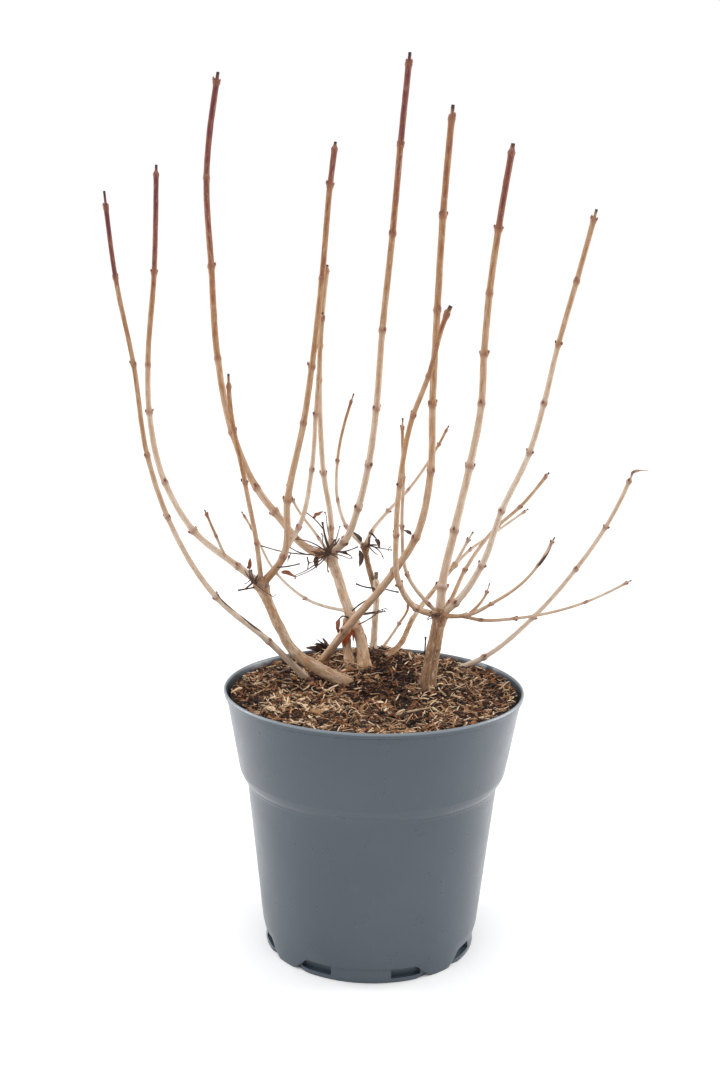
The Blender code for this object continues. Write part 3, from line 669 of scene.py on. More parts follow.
def turned_shape(profile, steps, merge=0.000005):
    """A closed shape turned round the Z axis from its (r, z) section."""
    shape = bmesh.new()
    verts = [shape.verts.new((radius, 0.0, height)) for radius, height in profile]
    edges = [shape.edges.new(pair) for pair in zip(verts, verts[1:])]
    bmesh.ops.spin(shape, geom=verts + edges, cent=(0, 0, 0), axis=(0, 0, 1), dvec=(0, 0, 0),
                   angle=math.tau, steps=steps, use_merge=True, use_duplicate=False)
    bmesh.ops.remove_doubles(shape, verts=shape.verts, dist=merge)
    bmesh.ops.recalc_face_normals(shape, faces=shape.faces)
    return shape


def shape_arrays(shape):
    """The corners and triangles of a shape, which is freed."""
    bmesh.ops.triangulate(shape, faces=shape.faces)
    shape.verts.index_update()
    corners = np.array([vert.co for vert in shape.verts])
    faces = np.array([[vert.index for vert in face.verts] for face in shape.faces])
    shape.free()
    return corners, faces


def joined_copies(copies):
    """One mesh of (corners, faces, matrix) copies."""
    all_corners = []
    all_faces = []
    start = 0
    for corners, faces, matrix in copies:
        all_corners.append(corners @ np.array(matrix.to_3x3()).T + np.array(matrix.translation))
        all_faces.append(faces + start)
        start += len(corners)
    corners = np.concatenate(all_corners)
    faces = np.concatenate(all_faces)
    mesh = bpy.data.meshes.new("joined")
    mesh.vertices.add(len(corners))
    mesh.vertices.foreach_set("co", corners.ravel())
    mesh.loops.add(faces.size)
    mesh.loops.foreach_set("vertex_index", faces.ravel())
    mesh.polygons.add(len(faces))
    mesh.polygons.foreach_set("loop_start", np.arange(0, faces.size, 3))
    mesh.update(calc_edges=True)
    mesh.validate()
    return mesh


def new_piece(name, shape, material, nodes=(), sharp=SMOOTH):
    """The finished piece: in its material, riding with the part, standing for its nodes."""
    if isinstance(shape, list):
        mesh = joined_copies(shape)
        mesh.name = name
    else:
        mesh = bpy.data.meshes.new(name)
        shape.to_mesh(mesh)
        shape.free()
    mesh.shade_smooth()
    mesh.set_sharp_from_angle(angle=sharp)
    mesh.materials.append(material)
    piece = bpy.data.objects.new(name, mesh)
    bpy.context.scene.collection.objects.link(piece)
    if not mesh.polygons:
        raise RuntimeError(f"{name} has no faces")
    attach(piece, "root")
    if nodes:
        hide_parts(*nodes)
    return piece


def medium_height(x, y, level):
    """Height of the growing medium's surface."""
    away = (x * x + (y - MOUND_BACK) ** 2) / (2.0 * MOUND_SPREAD ** 2)
    return level + MOUND_RISE * math.exp(-away)


def wall_radius(height):
    """Inner radius of the pot near its rim."""
    return 0.1202 + (height - 0.176) * 0.17


def heaped_height(x, y, level):
    """Height of the mulch with its lumps, drawn up at the wall and round each stem."""
    lumps = 0.0022 * noise.noise(Vector((x, y, 1.7)) * 26.0)
    lumps += 0.0011 * noise.noise(Vector((x, y, 2.9)) * 75.0)
    collar = 0.0
    for foot_x, foot_y in ROOTED:
        away = ((x - foot_x) ** 2 + (y - foot_y) ** 2) / (2.0 * COLLAR_SPREAD ** 2)
        if away < 6.0:
            collar = max(collar, COLLAR_RISE * math.exp(-away))
    plain = medium_height(x, y, level)
    cover = MULCH_COVER * (math.hypot(x, y) / wall_radius(level)) ** 4
    cover *= max(0.0, 1.0 - (plain - level) / 0.006)
    return plain + cover + lumps + collar


def arch_height(angle, rise):
    """How far the foot's edge stands off the ground at an angle from +X."""
    wave = math.cos(ARCHES * (angle - ARCH_TURN))
    return rise * min(1.0, max(0.0, wave * ARCH_SLOPE + ARCH_BIAS))


def pot_section(pot):
    """Section of the pot: up its inside, over the rim and down its outside."""
    top = pot.height
    rim = pot.rim_radius
    wall = pot.wall
    foot = pot.foot_radius
    inside = [
        (0.0, wall), (0.0915, wall), (0.0925, 0.016), (foot - 0.0005, 0.016),
        (0.1122, 0.158), (0.1182, 0.165), (0.1202, 0.176), (0.1305, top - 0.0065),
        (rim - wall - 0.0006, top - 0.0024), (rim - wall, top - 0.0004),
    ]
    lip = [
        (rim - wall + 0.0004, top), (rim - 0.0005, top), (rim, top - 0.0006),
        (rim + 0.0001, top - 0.0022), (rim - 0.0004, top - 0.0044),
        (rim - 0.0012, top - 0.0048),
    ]
    outside = [
        (0.1327, top - 0.0056), (0.1222, 0.176), (0.1210, 0.1695), (0.1186, 0.1640),
        (0.1158, 0.1602), (0.1150, 0.1588), (0.1149, 0.1574), (0.1143, 0.1566),
        (0.1139, 0.1540), (0.1002, 0.022), (foot + 0.0005, 0.004), (foot, 0.0),
        (foot - wall, 0.0), (foot - wall, RING_TOP), (0.0945, RING_TOP), (0.0938, 0.003),
        (0.0935, 0.0), (0.0740, 0.0), (0.0735, 0.0006), (0.0700, 0.0006), (0.0695, 0.0),
        (0.0040, 0.0), (0.0035, 0.0008), (0.0, 0.0008),
    ]
    return inside + rounded(lip, 0.0005) + rounded(outside, 0.0009)


class SHRUB_OT_pot(Operator):
    """Build the moulded pot with its lip, shoulder, ridge and drainage arches"""

    bl_idname = "shrub.pot"
    bl_label = "Pot"

    def execute(self, context):
        pot = context.scene.shrub_pot
        shape = turned_shape(pot_section(pot), 192)
        low = [edge for edge in shape.edges
               if edge.calc_length() > 0.012 and max(v.co.z for v in edge.verts) < 0.16]
        bmesh.ops.subdivide_edges(shape, edges=low, cuts=6, use_grid_fill=True)
        self.raise_arches(shape, pot)
        self.open_drains(shape)
        new_piece("pot_shell", shape, pot_material(pot), ["pot"], SMOOTH_POT)
        return {"FINISHED"}

    def raise_arches(self, shape, pot):
        """Lift the foot's edge in arches, and bring the ring inside them out to show."""
        for vert in shape.verts:
            radius = math.hypot(vert.co.x, vert.co.y)
            angle = math.atan2(vert.co.y, vert.co.x)
            outside = radius > pot.foot_radius - 0.5 * pot.wall
            reach = ARCH_REACH_OUTSIDE if outside else ARCH_REACH_INSIDE
            if radius > pot.foot_radius - 1.5 * pot.wall and vert.co.z < reach:
                arch = arch_height(angle, pot.arch_rise)
                vert.co.z = arch + vert.co.z * (1.0 - arch / reach)
            if RING_RADII[0] < radius < RING_RADII[1] and vert.co.z < 0.015:
                flush = RING_FLUSH + (RING_TOP - vert.co.z) * RING_SLOPE
                vert.co.xy *= 1.0 + (flush / radius - 1.0) * arch_height(angle, 1.0)

    def open_drains(self, shape):
        """Push a pair of drainage holes into the foot ring under each arch."""
        ring = []
        for face in shape.faces:
            middle = face.calc_center_median()
            turn = math.degrees(math.atan2(middle.y, middle.x) - ARCH_TURN)
            turn = abs((turn + 45.0) % 90.0 - 45.0)
            upright = abs(face.normal.z) < 0.4 and face.normal.xy.dot(middle.xy) > 0.0
            limits = ((turn, DRAIN_TURNS), (middle.z, DRAIN_HEIGHTS), (middle.xy.length, DRAIN_RADII))
            if upright and all(low < value < high for value, (low, high) in limits):
                ring.append(face)
        for vert in bmesh.ops.extrude_face_region(shape, geom=ring)["geom"]:
            if isinstance(vert, bmesh.types.BMVert):
                vert.co.xy *= DRAIN_DEPTH
        bmesh.ops.delete(shape, geom=[face for face in ring if face.is_valid], context="FACES")


# Each kind of loose bark: the width, thickness and number of bends of one of unit
# length, its shortest and longest length, how far it bends up and how far it leans
LooseBark = namedtuple("LooseBark", "width depth cuts short long bend lean")
LOOSE_BARK = {
    "shred": LooseBark(0.12, 0.06, 4, 0.004, 0.014, (-0.25, 0.25), 0.12),
    "chip": LooseBark(0.40, 0.14, 2, 0.003, 0.009, (-0.25, 0.25), 0.12),
    "fibre": LooseBark(0.035, 0.03, 7, 0.007, 0.019, (-0.3, 0.6), 0.35),
}


def chip_shape(kind, rng):
    """One shred, chip or fibre of unit length lying along X, as arrays."""
    shape = bmesh.new()
    bmesh.ops.create_cube(shape, size=1.0)
    along = [edge for edge in shape.edges if abs(edge.verts[0].co.x - edge.verts[1].co.x) > 0.5]
    bmesh.ops.subdivide_edges(shape, edges=along, cuts=kind.cuts)
    bend = rng.uniform(*kind.bend)
    twist = rng.uniform(-1.0, 1.0)
    lean = rng.uniform(-kind.lean, kind.lean)
    wave = rng.uniform(0.0, math.tau)
    narrow = {-1: rng.uniform(0.1, 0.8), 1: rng.uniform(0.05, 0.6)}
    for vert in shape.verts:
        x = vert.co.x
        end = 1.0 - (1.0 - narrow[1 if x > 0 else -1]) * (2.0 * abs(x)) ** 1.6
        wide = vert.co.y * kind.width * end * rng.uniform(0.75, 1.2)
        deep = vert.co.z * kind.depth * (0.55 + 0.45 * end) * rng.uniform(0.8, 1.1)
        turn = twist * x
        y = wide * math.cos(turn) - deep * math.sin(turn)
        z = wide * math.sin(turn) + deep * math.cos(turn)
        y += lean * (4.0 * x * x - 0.3) * 0.5 + 0.02 * math.sin(6.0 * x + wave)
        z += bend * (0.25 - x * x)
        vert.co = (x + rng.uniform(-0.03, 0.03), y, z)
    return shape_arrays(shape)


class SHRUB_OT_mulch(Operator):
    """Build the growing medium and the shreds, chips and fibres of bark on it"""

    bl_idname = "shrub.mulch"
    bl_label = "Mulch"

    def execute(self, context):
        mulch = context.scene.shrub_mulch
        self.build_bed(mulch)
        self.scatter(mulch)
        return {"FINISHED"}

    def build_bed(self, mulch):
        """The filling of the pot, with its rough top."""
        rings = 64
        edge = wall_radius(mulch.level) - 0.0006
        section = [(edge * k / rings, mulch.level) for k in range(rings + 1)]
        section += [(0.1197, 0.176), (0.1177, 0.165), (0.1117, 0.158), (0.0971, 0.0165),
                    (0.0840, 0.0165), (0.0830, 0.0025), (0.0, 0.0025)]
        shape = turned_shape(section, 200)
        for vert in shape.verts:
            if vert.co.z > mulch.level - 0.001:
                x, y, _ = vert.co
                fade = min(1.0, (edge - math.hypot(x, y)) / 0.004 + 0.25)
                rough = 0.0018 * noise.fractal(Vector((x, y, 0.3)) * 70.0, 0.9, 2.1, 5)
                vert.co.z = heaped_height(x, y, mulch.level) - 0.0018 + fade * rough
        new_piece("mulch_bed", shape, bed_material(mulch), ["growing_medium"], math.pi)

    def scatter(self, mulch):
        """The loose bark, one piece for each of its colours."""
        rng = random.Random(MULCH_SEED)
        heaps = {tone: [] for tone in MULCH_TONES}
        counts = {"shred": mulch.shreds, "chip": mulch.chips, "fibre": mulch.fibres}
        for name, kind in LOOSE_BARK.items():
            forms = [chip_shape(kind, rng) for _ in range(16)]
            for _ in range(counts[name]):
                size = kind.short + (kind.long - kind.short) * rng.random() ** 1.8
                matrix = self.resting_place(rng, size, mulch.level)
                if matrix is not None:
                    tone = self.tone_at(matrix.translation, name == "fibre", rng)
                    heaps[tone].append((*rng.choice(forms), matrix))
        for tone, copies in heaps.items():
            material = plain_wood_material("bark_" + tone, getattr(mulch, tone), 0.85)
            new_piece("shreds_" + tone, copies, material, sharp=SMOOTH_SHRED)

    def tone_at(self, place, fine, rng):
        """The colour of one shred, by the pale and dark drifts that lie about."""
        light = 0.55 * noise.noise(Vector((place.x, place.y, 4.1)) * 26.0)
        for (x, y, spread), strength in ((PALE_PATCH, 0.3), (DAMP_PATCH, -0.25)):
            light += strength * math.exp(-((place.x - x) ** 2 + (place.y - y) ** 2) / spread)
        shares = [share * math.exp(slope * light) for share, slope in MULCH_TONES.values()]
        if fine:
            shares[0] *= 1.2
        return rng.choices(list(MULCH_TONES), shares)[0]

    def resting_place(self, rng, size, level):
        """Where one shred lies, or None if it would pass through the wall."""
        radius = MULCH_RADIUS * math.sqrt(rng.random())
        angle = rng.uniform(0.0, math.tau)
        x, y = radius * math.cos(angle), radius * math.sin(angle)
        heading = rng.uniform(0.0, math.tau)
        pitch = rng.gauss(0.0, 0.30)
        roll = rng.gauss(0.0, 0.6)
        for end in (-0.5, 0.5):
            far = math.hypot(x + end * size * math.cos(heading), y + end * size * math.sin(heading))
            if far > wall_radius(level) - WALL_GAP:
                return None
        z = heaped_height(x, y, level) + rng.uniform(-0.0016, 0.0024) + 0.14 * abs(pitch) * size
        turn = Euler((roll, pitch, heading)).to_matrix().to_4x4()
        return Matrix.Translation((x, y, z)) @ turn @ Matrix.Scale(size, 4)


def curve_through(points):
    """A dense smooth path through the points, with the distance of each one."""
    spans = [(after - before).length for before, after in zip(points, points[1:])]
    slopes = [(after - before) / span for before, after, span in zip(points, points[1:], spans)]
    turns = [None] * len(points)
    for i in range(1, len(points) - 1):
        total = spans[i - 1] + spans[i]
        turns[i] = (slopes[i - 1] * spans[i] + slopes[i] * spans[i - 1]) / total
    turns[0] = slopes[0] * 1.5 - turns[1] * 0.5
    turns[-1] = slopes[-1] * 1.5 - turns[-2] * 0.5
    path = [points[0].copy()]
    marks = [0.0]
    travelled = 0.0
    for i, span in enumerate(spans):
        steps = max(2, math.ceil(span / PATH_STEP))
        for step in range(1, steps + 1):
            u = step / steps
            v = u * u
            w = v * u
            point = (2 * w - 3 * v + 1) * points[i] + (w - 2 * v + u) * span * turns[i]
            point += (3 * v - 2 * w) * points[i + 1] + (w - v) * span * turns[i + 1]
            travelled += (point - path[-1]).length
            path.append(point)
        marks.append(travelled)
    return path, marks


def distances_along(points):
    """The distance of each point from the first one, along all of them."""
    made = [0.0]
    for before, after in zip(points, points[1:]):
        made.append(made[-1] + (after - before).length)
    return made


def turning_frames(places, headings):
    """A frame at each place that turns with the heading and doesn't spin round it."""
    made = []
    side = headings[0].orthogonal().normalized()
    for place, ahead in zip(places, headings):
        side = (side - ahead * side.dot(ahead)).normalized()
        made.append((place, side, ahead.cross(side)))
    return made


def outward(frame_there, angle):
    """The direction out of a limb at an angle round it."""
    return frame_there[1] * math.cos(angle) + frame_there[2] * math.sin(angle)


class Course:
    """Where a limb runs: its path, its length and its nodes' distances."""

    def __init__(self, row, courses, level):
        if row.grows_from is None:
            start = Vector((*row.foot, medium_height(*row.foot, level)))
        else:
            start = courses[row.grows_from].at_share(row.foot)
        flat = [Vector((start.x, 0.0, start.z))]
        flat += [Vector((x, 0.0, z)) for x, z in row.nodes]
        run = distances_along(flat)
        points = []
        for place, distance in zip(flat, run):
            left = 1.0 - distance / run[-1]
            y = start.y + (row.tip_y - start.y) * (1.0 - left ** row.early)
            points.append(Vector((place.x, y, place.z)))
        self.row = row
        self.path, marks = curve_through(points)
        self.nodes = marks[1:-1]
        self.length = marks[-1]
        self.marks = distances_along(self.path)

    def at(self, distance):
        """The point at a distance along the path, past its ends on a straight line."""
        index = min(len(self.path) - 2, max(0, bisect_right(self.marks, distance) - 1))
        span = self.marks[index + 1] - self.marks[index]
        share = (distance - self.marks[index]) / span
        place = self.path[index].lerp(self.path[index + 1], share)
        if self.row.grows_from is None and distance < 0.0:
            place.z += ROOT_DIVE * distance
        return place

    def at_share(self, share):
        """The point at a share of the length."""
        return self.at(share * self.length)

    def heading(self, distance):
        """The direction of the path, smoothed over a few millimetres."""
        return (self.at(distance + 0.002) - self.at(distance - 0.002)).normalized()

    def radius(self, distance):
        """The limb's own taper, without its nodes."""
        left = 1.0 - clamped(distance / self.length)
        return self.row.tip_radius + (self.row.foot_radius - self.row.tip_radius) * left ** TAPER_EARLY

    def frames(self, distances):
        """A turning frame at each distance."""
        return turning_frames([self.at(distance) for distance in distances],
                              [self.heading(distance) for distance in distances])


def clamped(value):
    """The value kept between 0 and 1."""
    return min(1.0, max(0.0, value))


def peak(away, reach):
    """1 at a place, fading to 0 at a few times the reach from it."""
    return math.exp(-(away / reach) ** 2)


def level_of(table, value):
    """The value read off a table of (place, level) pairs."""
    if value <= table[0][0]:
        return table[0][1]
    for (low, first), (high, last) in zip(table, table[1:]):
        if value <= high:
            return first + (last - first) * (value - low) / (high - low)
    return table[-1][1]


class Skin:
    """The shape and colouring of one limb's bark."""

    def __init__(self, course, bark, seed):
        row = course.row
        rng = random.Random(seed)
        self.course = course
        self.row = row
        self.bark = bark
        self.shift = Vector((seed * 1.7, seed * 0.9, seed * 2.3))
        self.turn = rng.uniform(0.0, math.pi)
        self.knobs = list(course.nodes)
        if not row.knuckle and course.length - (self.knobs[-1] if self.knobs else 0.0) > 0.016:
            self.knobs.append(course.length - row.stub)
        self.sizes = [rng.uniform(0.85, 1.2) for _ in self.knobs]
        self.old = row in STEMS
        self.steps = [rng.uniform(-0.05, 0.05) for _ in range(len(self.knobs) + 1)]

    def knob_turn(self, index):
        """The angle of a node's pair of buds."""
        return self.turn + index * math.pi / 2

    def stations(self):
        """Distances of the rings, closer together at the nodes."""
        row = self.row
        end = self.course.length
        step = STEM_STEP if self.old else CANE_STEP
        if row.knuckle:
            end += KNUCKLE_RINGS[-1][0] * row.knuckle
        made = [-ROOT_COVER if row.grows_from is None else 0.0]
        while made[-1] < end - LEAST_STEP:
            here = made[-1]
            near = min((abs(here + LEAST_STEP - knob) for knob in self.knobs), default=1.0)
            fine = NODE_STEP if near < NODE_REACH else step
            if row.knuckle and here > self.course.length - 2.0 * row.knuckle:
                fine = KNUCKLE_STEP
            if not row.knuckle and here > end - END_REACH:
                fine = END_STEP
            made.append(min(end, here + fine))
        return made

    def girth(self, distance, angle):
        """Radius at a distance and an angle round the limb."""
        course, row = self.course, self.row
        size = course.radius(distance)
        if row.knuckle and distance > course.length + KNUCKLE_NECK * row.knuckle:
            rings = [(KNUCKLE_NECK, size / row.knuckle), *KNUCKLE_RINGS]
            size = row.knuckle * level_of(rings, (distance - course.length) / row.knuckle)
        if row.grows_from is None:
            flare = math.exp(-max(0.0, distance) / ROOT_FLARE_HEIGHT)
            size *= 1.0 + ROOT_FLARE * flare * (1.0 + 0.35 * math.cos(3.0 * angle + self.turn * 5.0))
        else:
            size *= 1.0 + BRANCH_FLARE * math.exp(-max(0.0, distance) / (2.2 * row.foot_radius))
        swell = 1.0
        for index, knob in enumerate(self.knobs):
            away = distance - knob
            if abs(away) <= 0.02:
                swell = sum(self.swelling(index, away, size, angle), swell)
        if not row.knuckle:
            swell *= 1.0 - row.narrows * clamped((distance - self.knobs[-1] - 0.0012) / 0.0025)
        return size * swell

    def swelling(self, index, away, size, angle):
        """How far a node swells the limb: its body, the seats of its buds and its ring."""
        reach = 0.0012 + 0.55 * size
        turn = angle - self.knob_turn(index)
        lobe = abs(math.cos(turn)) ** 2.5
        strength = self.bark.node_swelling * self.sizes[index] * (STEM_NODES if self.old else 1.0)
        line = away + 0.0006 + 0.0007 * math.cos(2.0 * turn)
        return (strength * NODE_BODY * peak(away, reach),
                strength * NODE_SEATS * lobe * peak(away - 0.25 * reach, 0.8 * reach),
                (0.02 if self.old else 0.08) * peak(line, 0.0005))

    def relief(self, distance, angle, size):
        """How far the bark stands out from its mean surface."""
        around = Vector((math.cos(angle), math.sin(angle), 0.0)) * size
        spot = around + Vector((0, 0, distance))
        if not self.old:
            fibres = noise.noise(Vector((around.x, around.y, distance * 0.12)) * 700.0 + self.shift)
            lumps = noise.noise((around + Vector((0, 0, distance * 0.5))) * 210.0 + self.shift)
            return 0.05 * size * fibres + 0.045 * size * lumps
        cracks = noise.noise(Vector((around.x, around.y, distance * 0.28)) * 420.0 + self.shift)
        lumps = noise.noise(spot * 150.0 + self.shift)
        deep = self.bark.relief * (abs(cracks) ** 0.7 * 1.6 - 0.5) + 0.00035 * lumps
        knuckle = self.row.knuckle
        if knuckle:
            near = peak(distance - self.course.length, 1.1 * knuckle)
            deep += 0.0011 * near * noise.fractal(spot * 230.0 + self.shift, 0.8, 2.1, 4)
        return deep

    def growth(self, distance):
        """How far the bark has coloured, stepping up at each leaf node."""
        low, high = self.row.tint
        share = clamped(distance / self.course.length)
        passed = sum(1 for knob in self.knobs if knob < distance)
        stepped = min(1.0, passed / max(1, len(self.knobs) - 1))
        near_foot = math.exp(-max(0.0, distance) / FOOT_COLOUR_REACH)
        if self.old:
            return low + (high - low) * share + self.steps[passed] - STEM_FOOT_DARKER * near_foot
        blend = 0.5 * share + 0.5 * stepped
        return low + (high - low) * blend ** 2.0 + self.steps[passed] + CANE_FOOT_DARKER * near_foot

    def joint(self, distance):
        """1 at a leaf node, fading to 0 a few millimetres away."""
        strength = STEM_NODES if self.old else 1.0
        near = [strength * peak(distance - knob, 0.0028) for knob in self.knobs]
        if self.row.knuckle:
            near.append(0.8 * peak(distance - self.course.length, self.row.knuckle))
        return max(near, default=0.0)

    def torn(self, distance):
        """1 on a ring of torn bark."""
        place = TORN.get(self.row.name)
        return 0.0 if place is None else peak(distance - place, 0.0013)

    def split(self, distance, out):
        """1 along a split, on the side that it faces."""
        first, last, side = SPLITS.get(self.row.name, (0.0, -1.0, None))
        if not first < distance < last:
            return 0.0
        near_end = min(1.0, (distance - first) / 0.006, (last - distance) / 0.006)
        wander = 0.10 * math.sin(distance * 160.0)
        return clamped((out.dot(side) + wander - 0.99 + 0.20 * near_end) / 0.04)

    def cut(self, distance):
        """1 on the dried end of a cut cane."""
        if self.row.knuckle:
            return 0.0
        dried = 0.45 * self.row.stub
        return clamped((distance - self.course.length + dried) / (0.5 * dried))


def straight_tube(rings, sides):
    """A closed tube of unit radius, with one unit of height for each ring."""
    line = [(0.0, 0.0), *((1.0, float(index)) for index in range(rings)), (0.0, float(rings - 1))]
    return turned_shape(line, sides, 0.0005)


def limb_shape(skin, sides):
    """The limb's tube bent onto its course, with its bark's relief and colouring."""
    distances = skin.stations()
    frames = skin.course.frames(distances)
    shape = straight_tube(len(distances), sides)
    straight = shape.verts.layers.float_vector.new("straight")
    growth, joint, cut = [shape.verts.layers.float.new(name) for name in ("growth", "joint", "cut")]
    for vert in shape.verts:
        ring = round(vert.co.z)
        distance = distances[ring]
        angle = math.atan2(vert.co.y, vert.co.x)
        out = outward(frames[ring], angle)
        split = skin.split(distance, out)
        torn = skin.torn(distance)
        radius = 0.0
        if vert.co.xy.length > 0.5:
            radius = skin.girth(distance, angle)
            radius += skin.relief(distance, angle, radius)
            if ring in (0, len(distances) - 1):
                radius *= 0.88
            radius *= 1.0 + 0.07 * torn - 0.12 * split
        vert.co = frames[ring][0] + out * radius
        unrolled = Vector((radius * math.cos(angle), radius * math.sin(angle), distance))
        vert[straight] = unrolled + skin.shift * 0.1
        vert[growth] = skin.growth(distance) - 0.6 * torn
        vert[joint] = skin.joint(distance)
        # The split takes the cut ends' dark colour, which paints the shade in its groove
        vert[cut] = max(skin.cut(distance), split)
    return shape


def all_skins(context):
    """The skin of every limb, in the order in which they grow."""
    level = context.scene.shrub_mulch.level
    courses = {}
    skins = {}
    for seed, row in enumerate(STEMS + CANES):
        courses[row.name] = Course(row, courses, level)
        skins[row.name] = Skin(courses[row.name], context.scene.shrub_bark, seed + 3)
    return skins


def dress_limbs(context, rows, material, stout, sides):
    """Each limb in its bark, with more sides where it is stout."""
    skins = all_skins(context)
    for row in rows:
        shape = limb_shape(skins[row.name], sides[0] if row.foot_radius > stout else sides[1])
        new_piece("bark_" + row.name, shape, material, [row.name], SMOOTH_BARK)


class SHRUB_OT_stems(Operator):
    """Build the stems and boughs of old bark, with their knuckles"""

    bl_idname = "shrub.stems"
    bl_label = "Stems"

    def execute(self, context):
        material = stem_material(context.scene.shrub_bark)
        dress_limbs(context, STEMS, material, 0.004, (40, 28))
        return {"FINISHED"}


class SHRUB_OT_canes(Operator):
    """Build the canes, with a swelling at each leaf node and a cut tip"""

    bl_idname = "shrub.canes"
    bl_label = "Canes"

    def execute(self, context):
        material = cane_material(context.scene.shrub_bark)
        dress_limbs(context, CANES, material, 0.0024, (22, 16))
        return {"FINISHED"}


def bud_shape():
    """One pointed bud of unit length along Z, as arrays."""
    shape = bmesh.new()
    bmesh.ops.create_uvsphere(shape, u_segments=10, v_segments=8, radius=0.5)
    for vert in shape.verts:
        x, y, z = vert.co
        up = z + 0.5
        point = 1.0 - 0.55 * up ** 2.2
        seam = 1.0 - 0.12 * math.exp(-(y / 0.07) ** 2) * up
        vert.co = (x * 0.62 * point * seam, y * 0.74 * point, up)
    return shape_arrays(shape)


class SHRUB_OT_buds(Operator):
    """Set a pair of buds at each leaf node, each pair across the one below it"""

    bl_idname = "shrub.buds"
    bl_label = "Buds"

    def execute(self, context):
        bark = context.scene.shrub_bark
        rng = random.Random(BUD_SEED)
        bud = bud_shape()
        skins = all_skins(context)
        heaps = {"red": [], "brown": [], "dark": []}
        for row in CANES:
            self.pair_up(skins[row.name], rng, bud, heaps)
        colours = {"red": bark.bud, "brown": [part * 0.62 for part in bark.bud], "dark": bark.cut}
        for tone, copies in heaps.items():
            material = plain_wood_material("bud_" + tone, colours[tone], 0.5, 0.7, 1400.0)
            new_piece("buds_" + tone, copies, material)
        return {"FINISHED"}

    def pair_up(self, skin, rng, bud, heaps):
        """The pairs of buds of one cane."""
        course = skin.course
        for index, (knob, there) in enumerate(zip(skin.knobs, course.frames(skin.knobs))):
            ahead = course.heading(knob)
            last = index == len(skin.knobs) - 1
            for half in (0.0, math.pi):
                if not last and rng.random() < BUDS_GONE:
                    continue
                angle = skin.knob_turn(index) + half
                out = outward(there, angle)
                size = (0.0014 + 0.75 * course.radius(knob)) * rng.uniform(0.8, 1.2)
                size *= 1.15 if last else 1.0
                lean = rng.uniform(0.12, 0.3) if last else rng.uniform(0.1, 0.4)
                axis = (ahead + out * lean).normalized()
                wide = axis.cross(out).normalized()
                turn = Matrix((out - axis * out.dot(axis), wide, axis)).transposed().to_4x4()
                seat = skin.girth(knob, angle) * (0.72 if last else 0.86)
                base = there[0] + out * seat + ahead * 0.0002
                tone = "red" if skin.growth(knob) > 0.35 or rng.random() < 0.5 else "brown"
                if not last and rng.random() < BUDS_DEAD:
                    tone = "dark"
                heaps[tone].append((*bud, Matrix.Translation(base) @ turn @ Matrix.Scale(size, 4)))


def any_way(rng, limits=(1, 1, 1)):
    """Three random numbers, each within its limit either way."""
    return Vector([rng.uniform(-limit, limit) for limit in limits])


def thread_shape(points, radii, sides=6):
    """A fine closed tube through points, as arrays."""
    shape = straight_tube(len(points), sides)
    sections = zip([points[0], *points], [*points[1:], points[-1]])
    frames = turning_frames(points, [(after - before).normalized() for before, after in sections])
    for vert in shape.verts:
        ring = round(vert.co.z)
        place, first, second = frames[ring]
        vert.co = place + (first * vert.co.x + second * vert.co.y) * radii[ring]
    return shape_arrays(shape)


def bent_line(start, end, sway, steps=6):
    """Points from start to end through a bend."""
    return bent(start, (start + end) / 2 + sway, end, steps)


def solids_tree():
    """A search tree of the limbs' solids."""
    corners, faces = [], []
    for row in STEMS + CANES:
        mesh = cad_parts[row.name].data
        start = len(corners)
        corners += [vert.co.copy() for vert in mesh.vertices]
        faces += [tuple(start + index for index in face.vertices) for face in mesh.polygons]
    return BVHTree.FromPolygons(corners, faces)


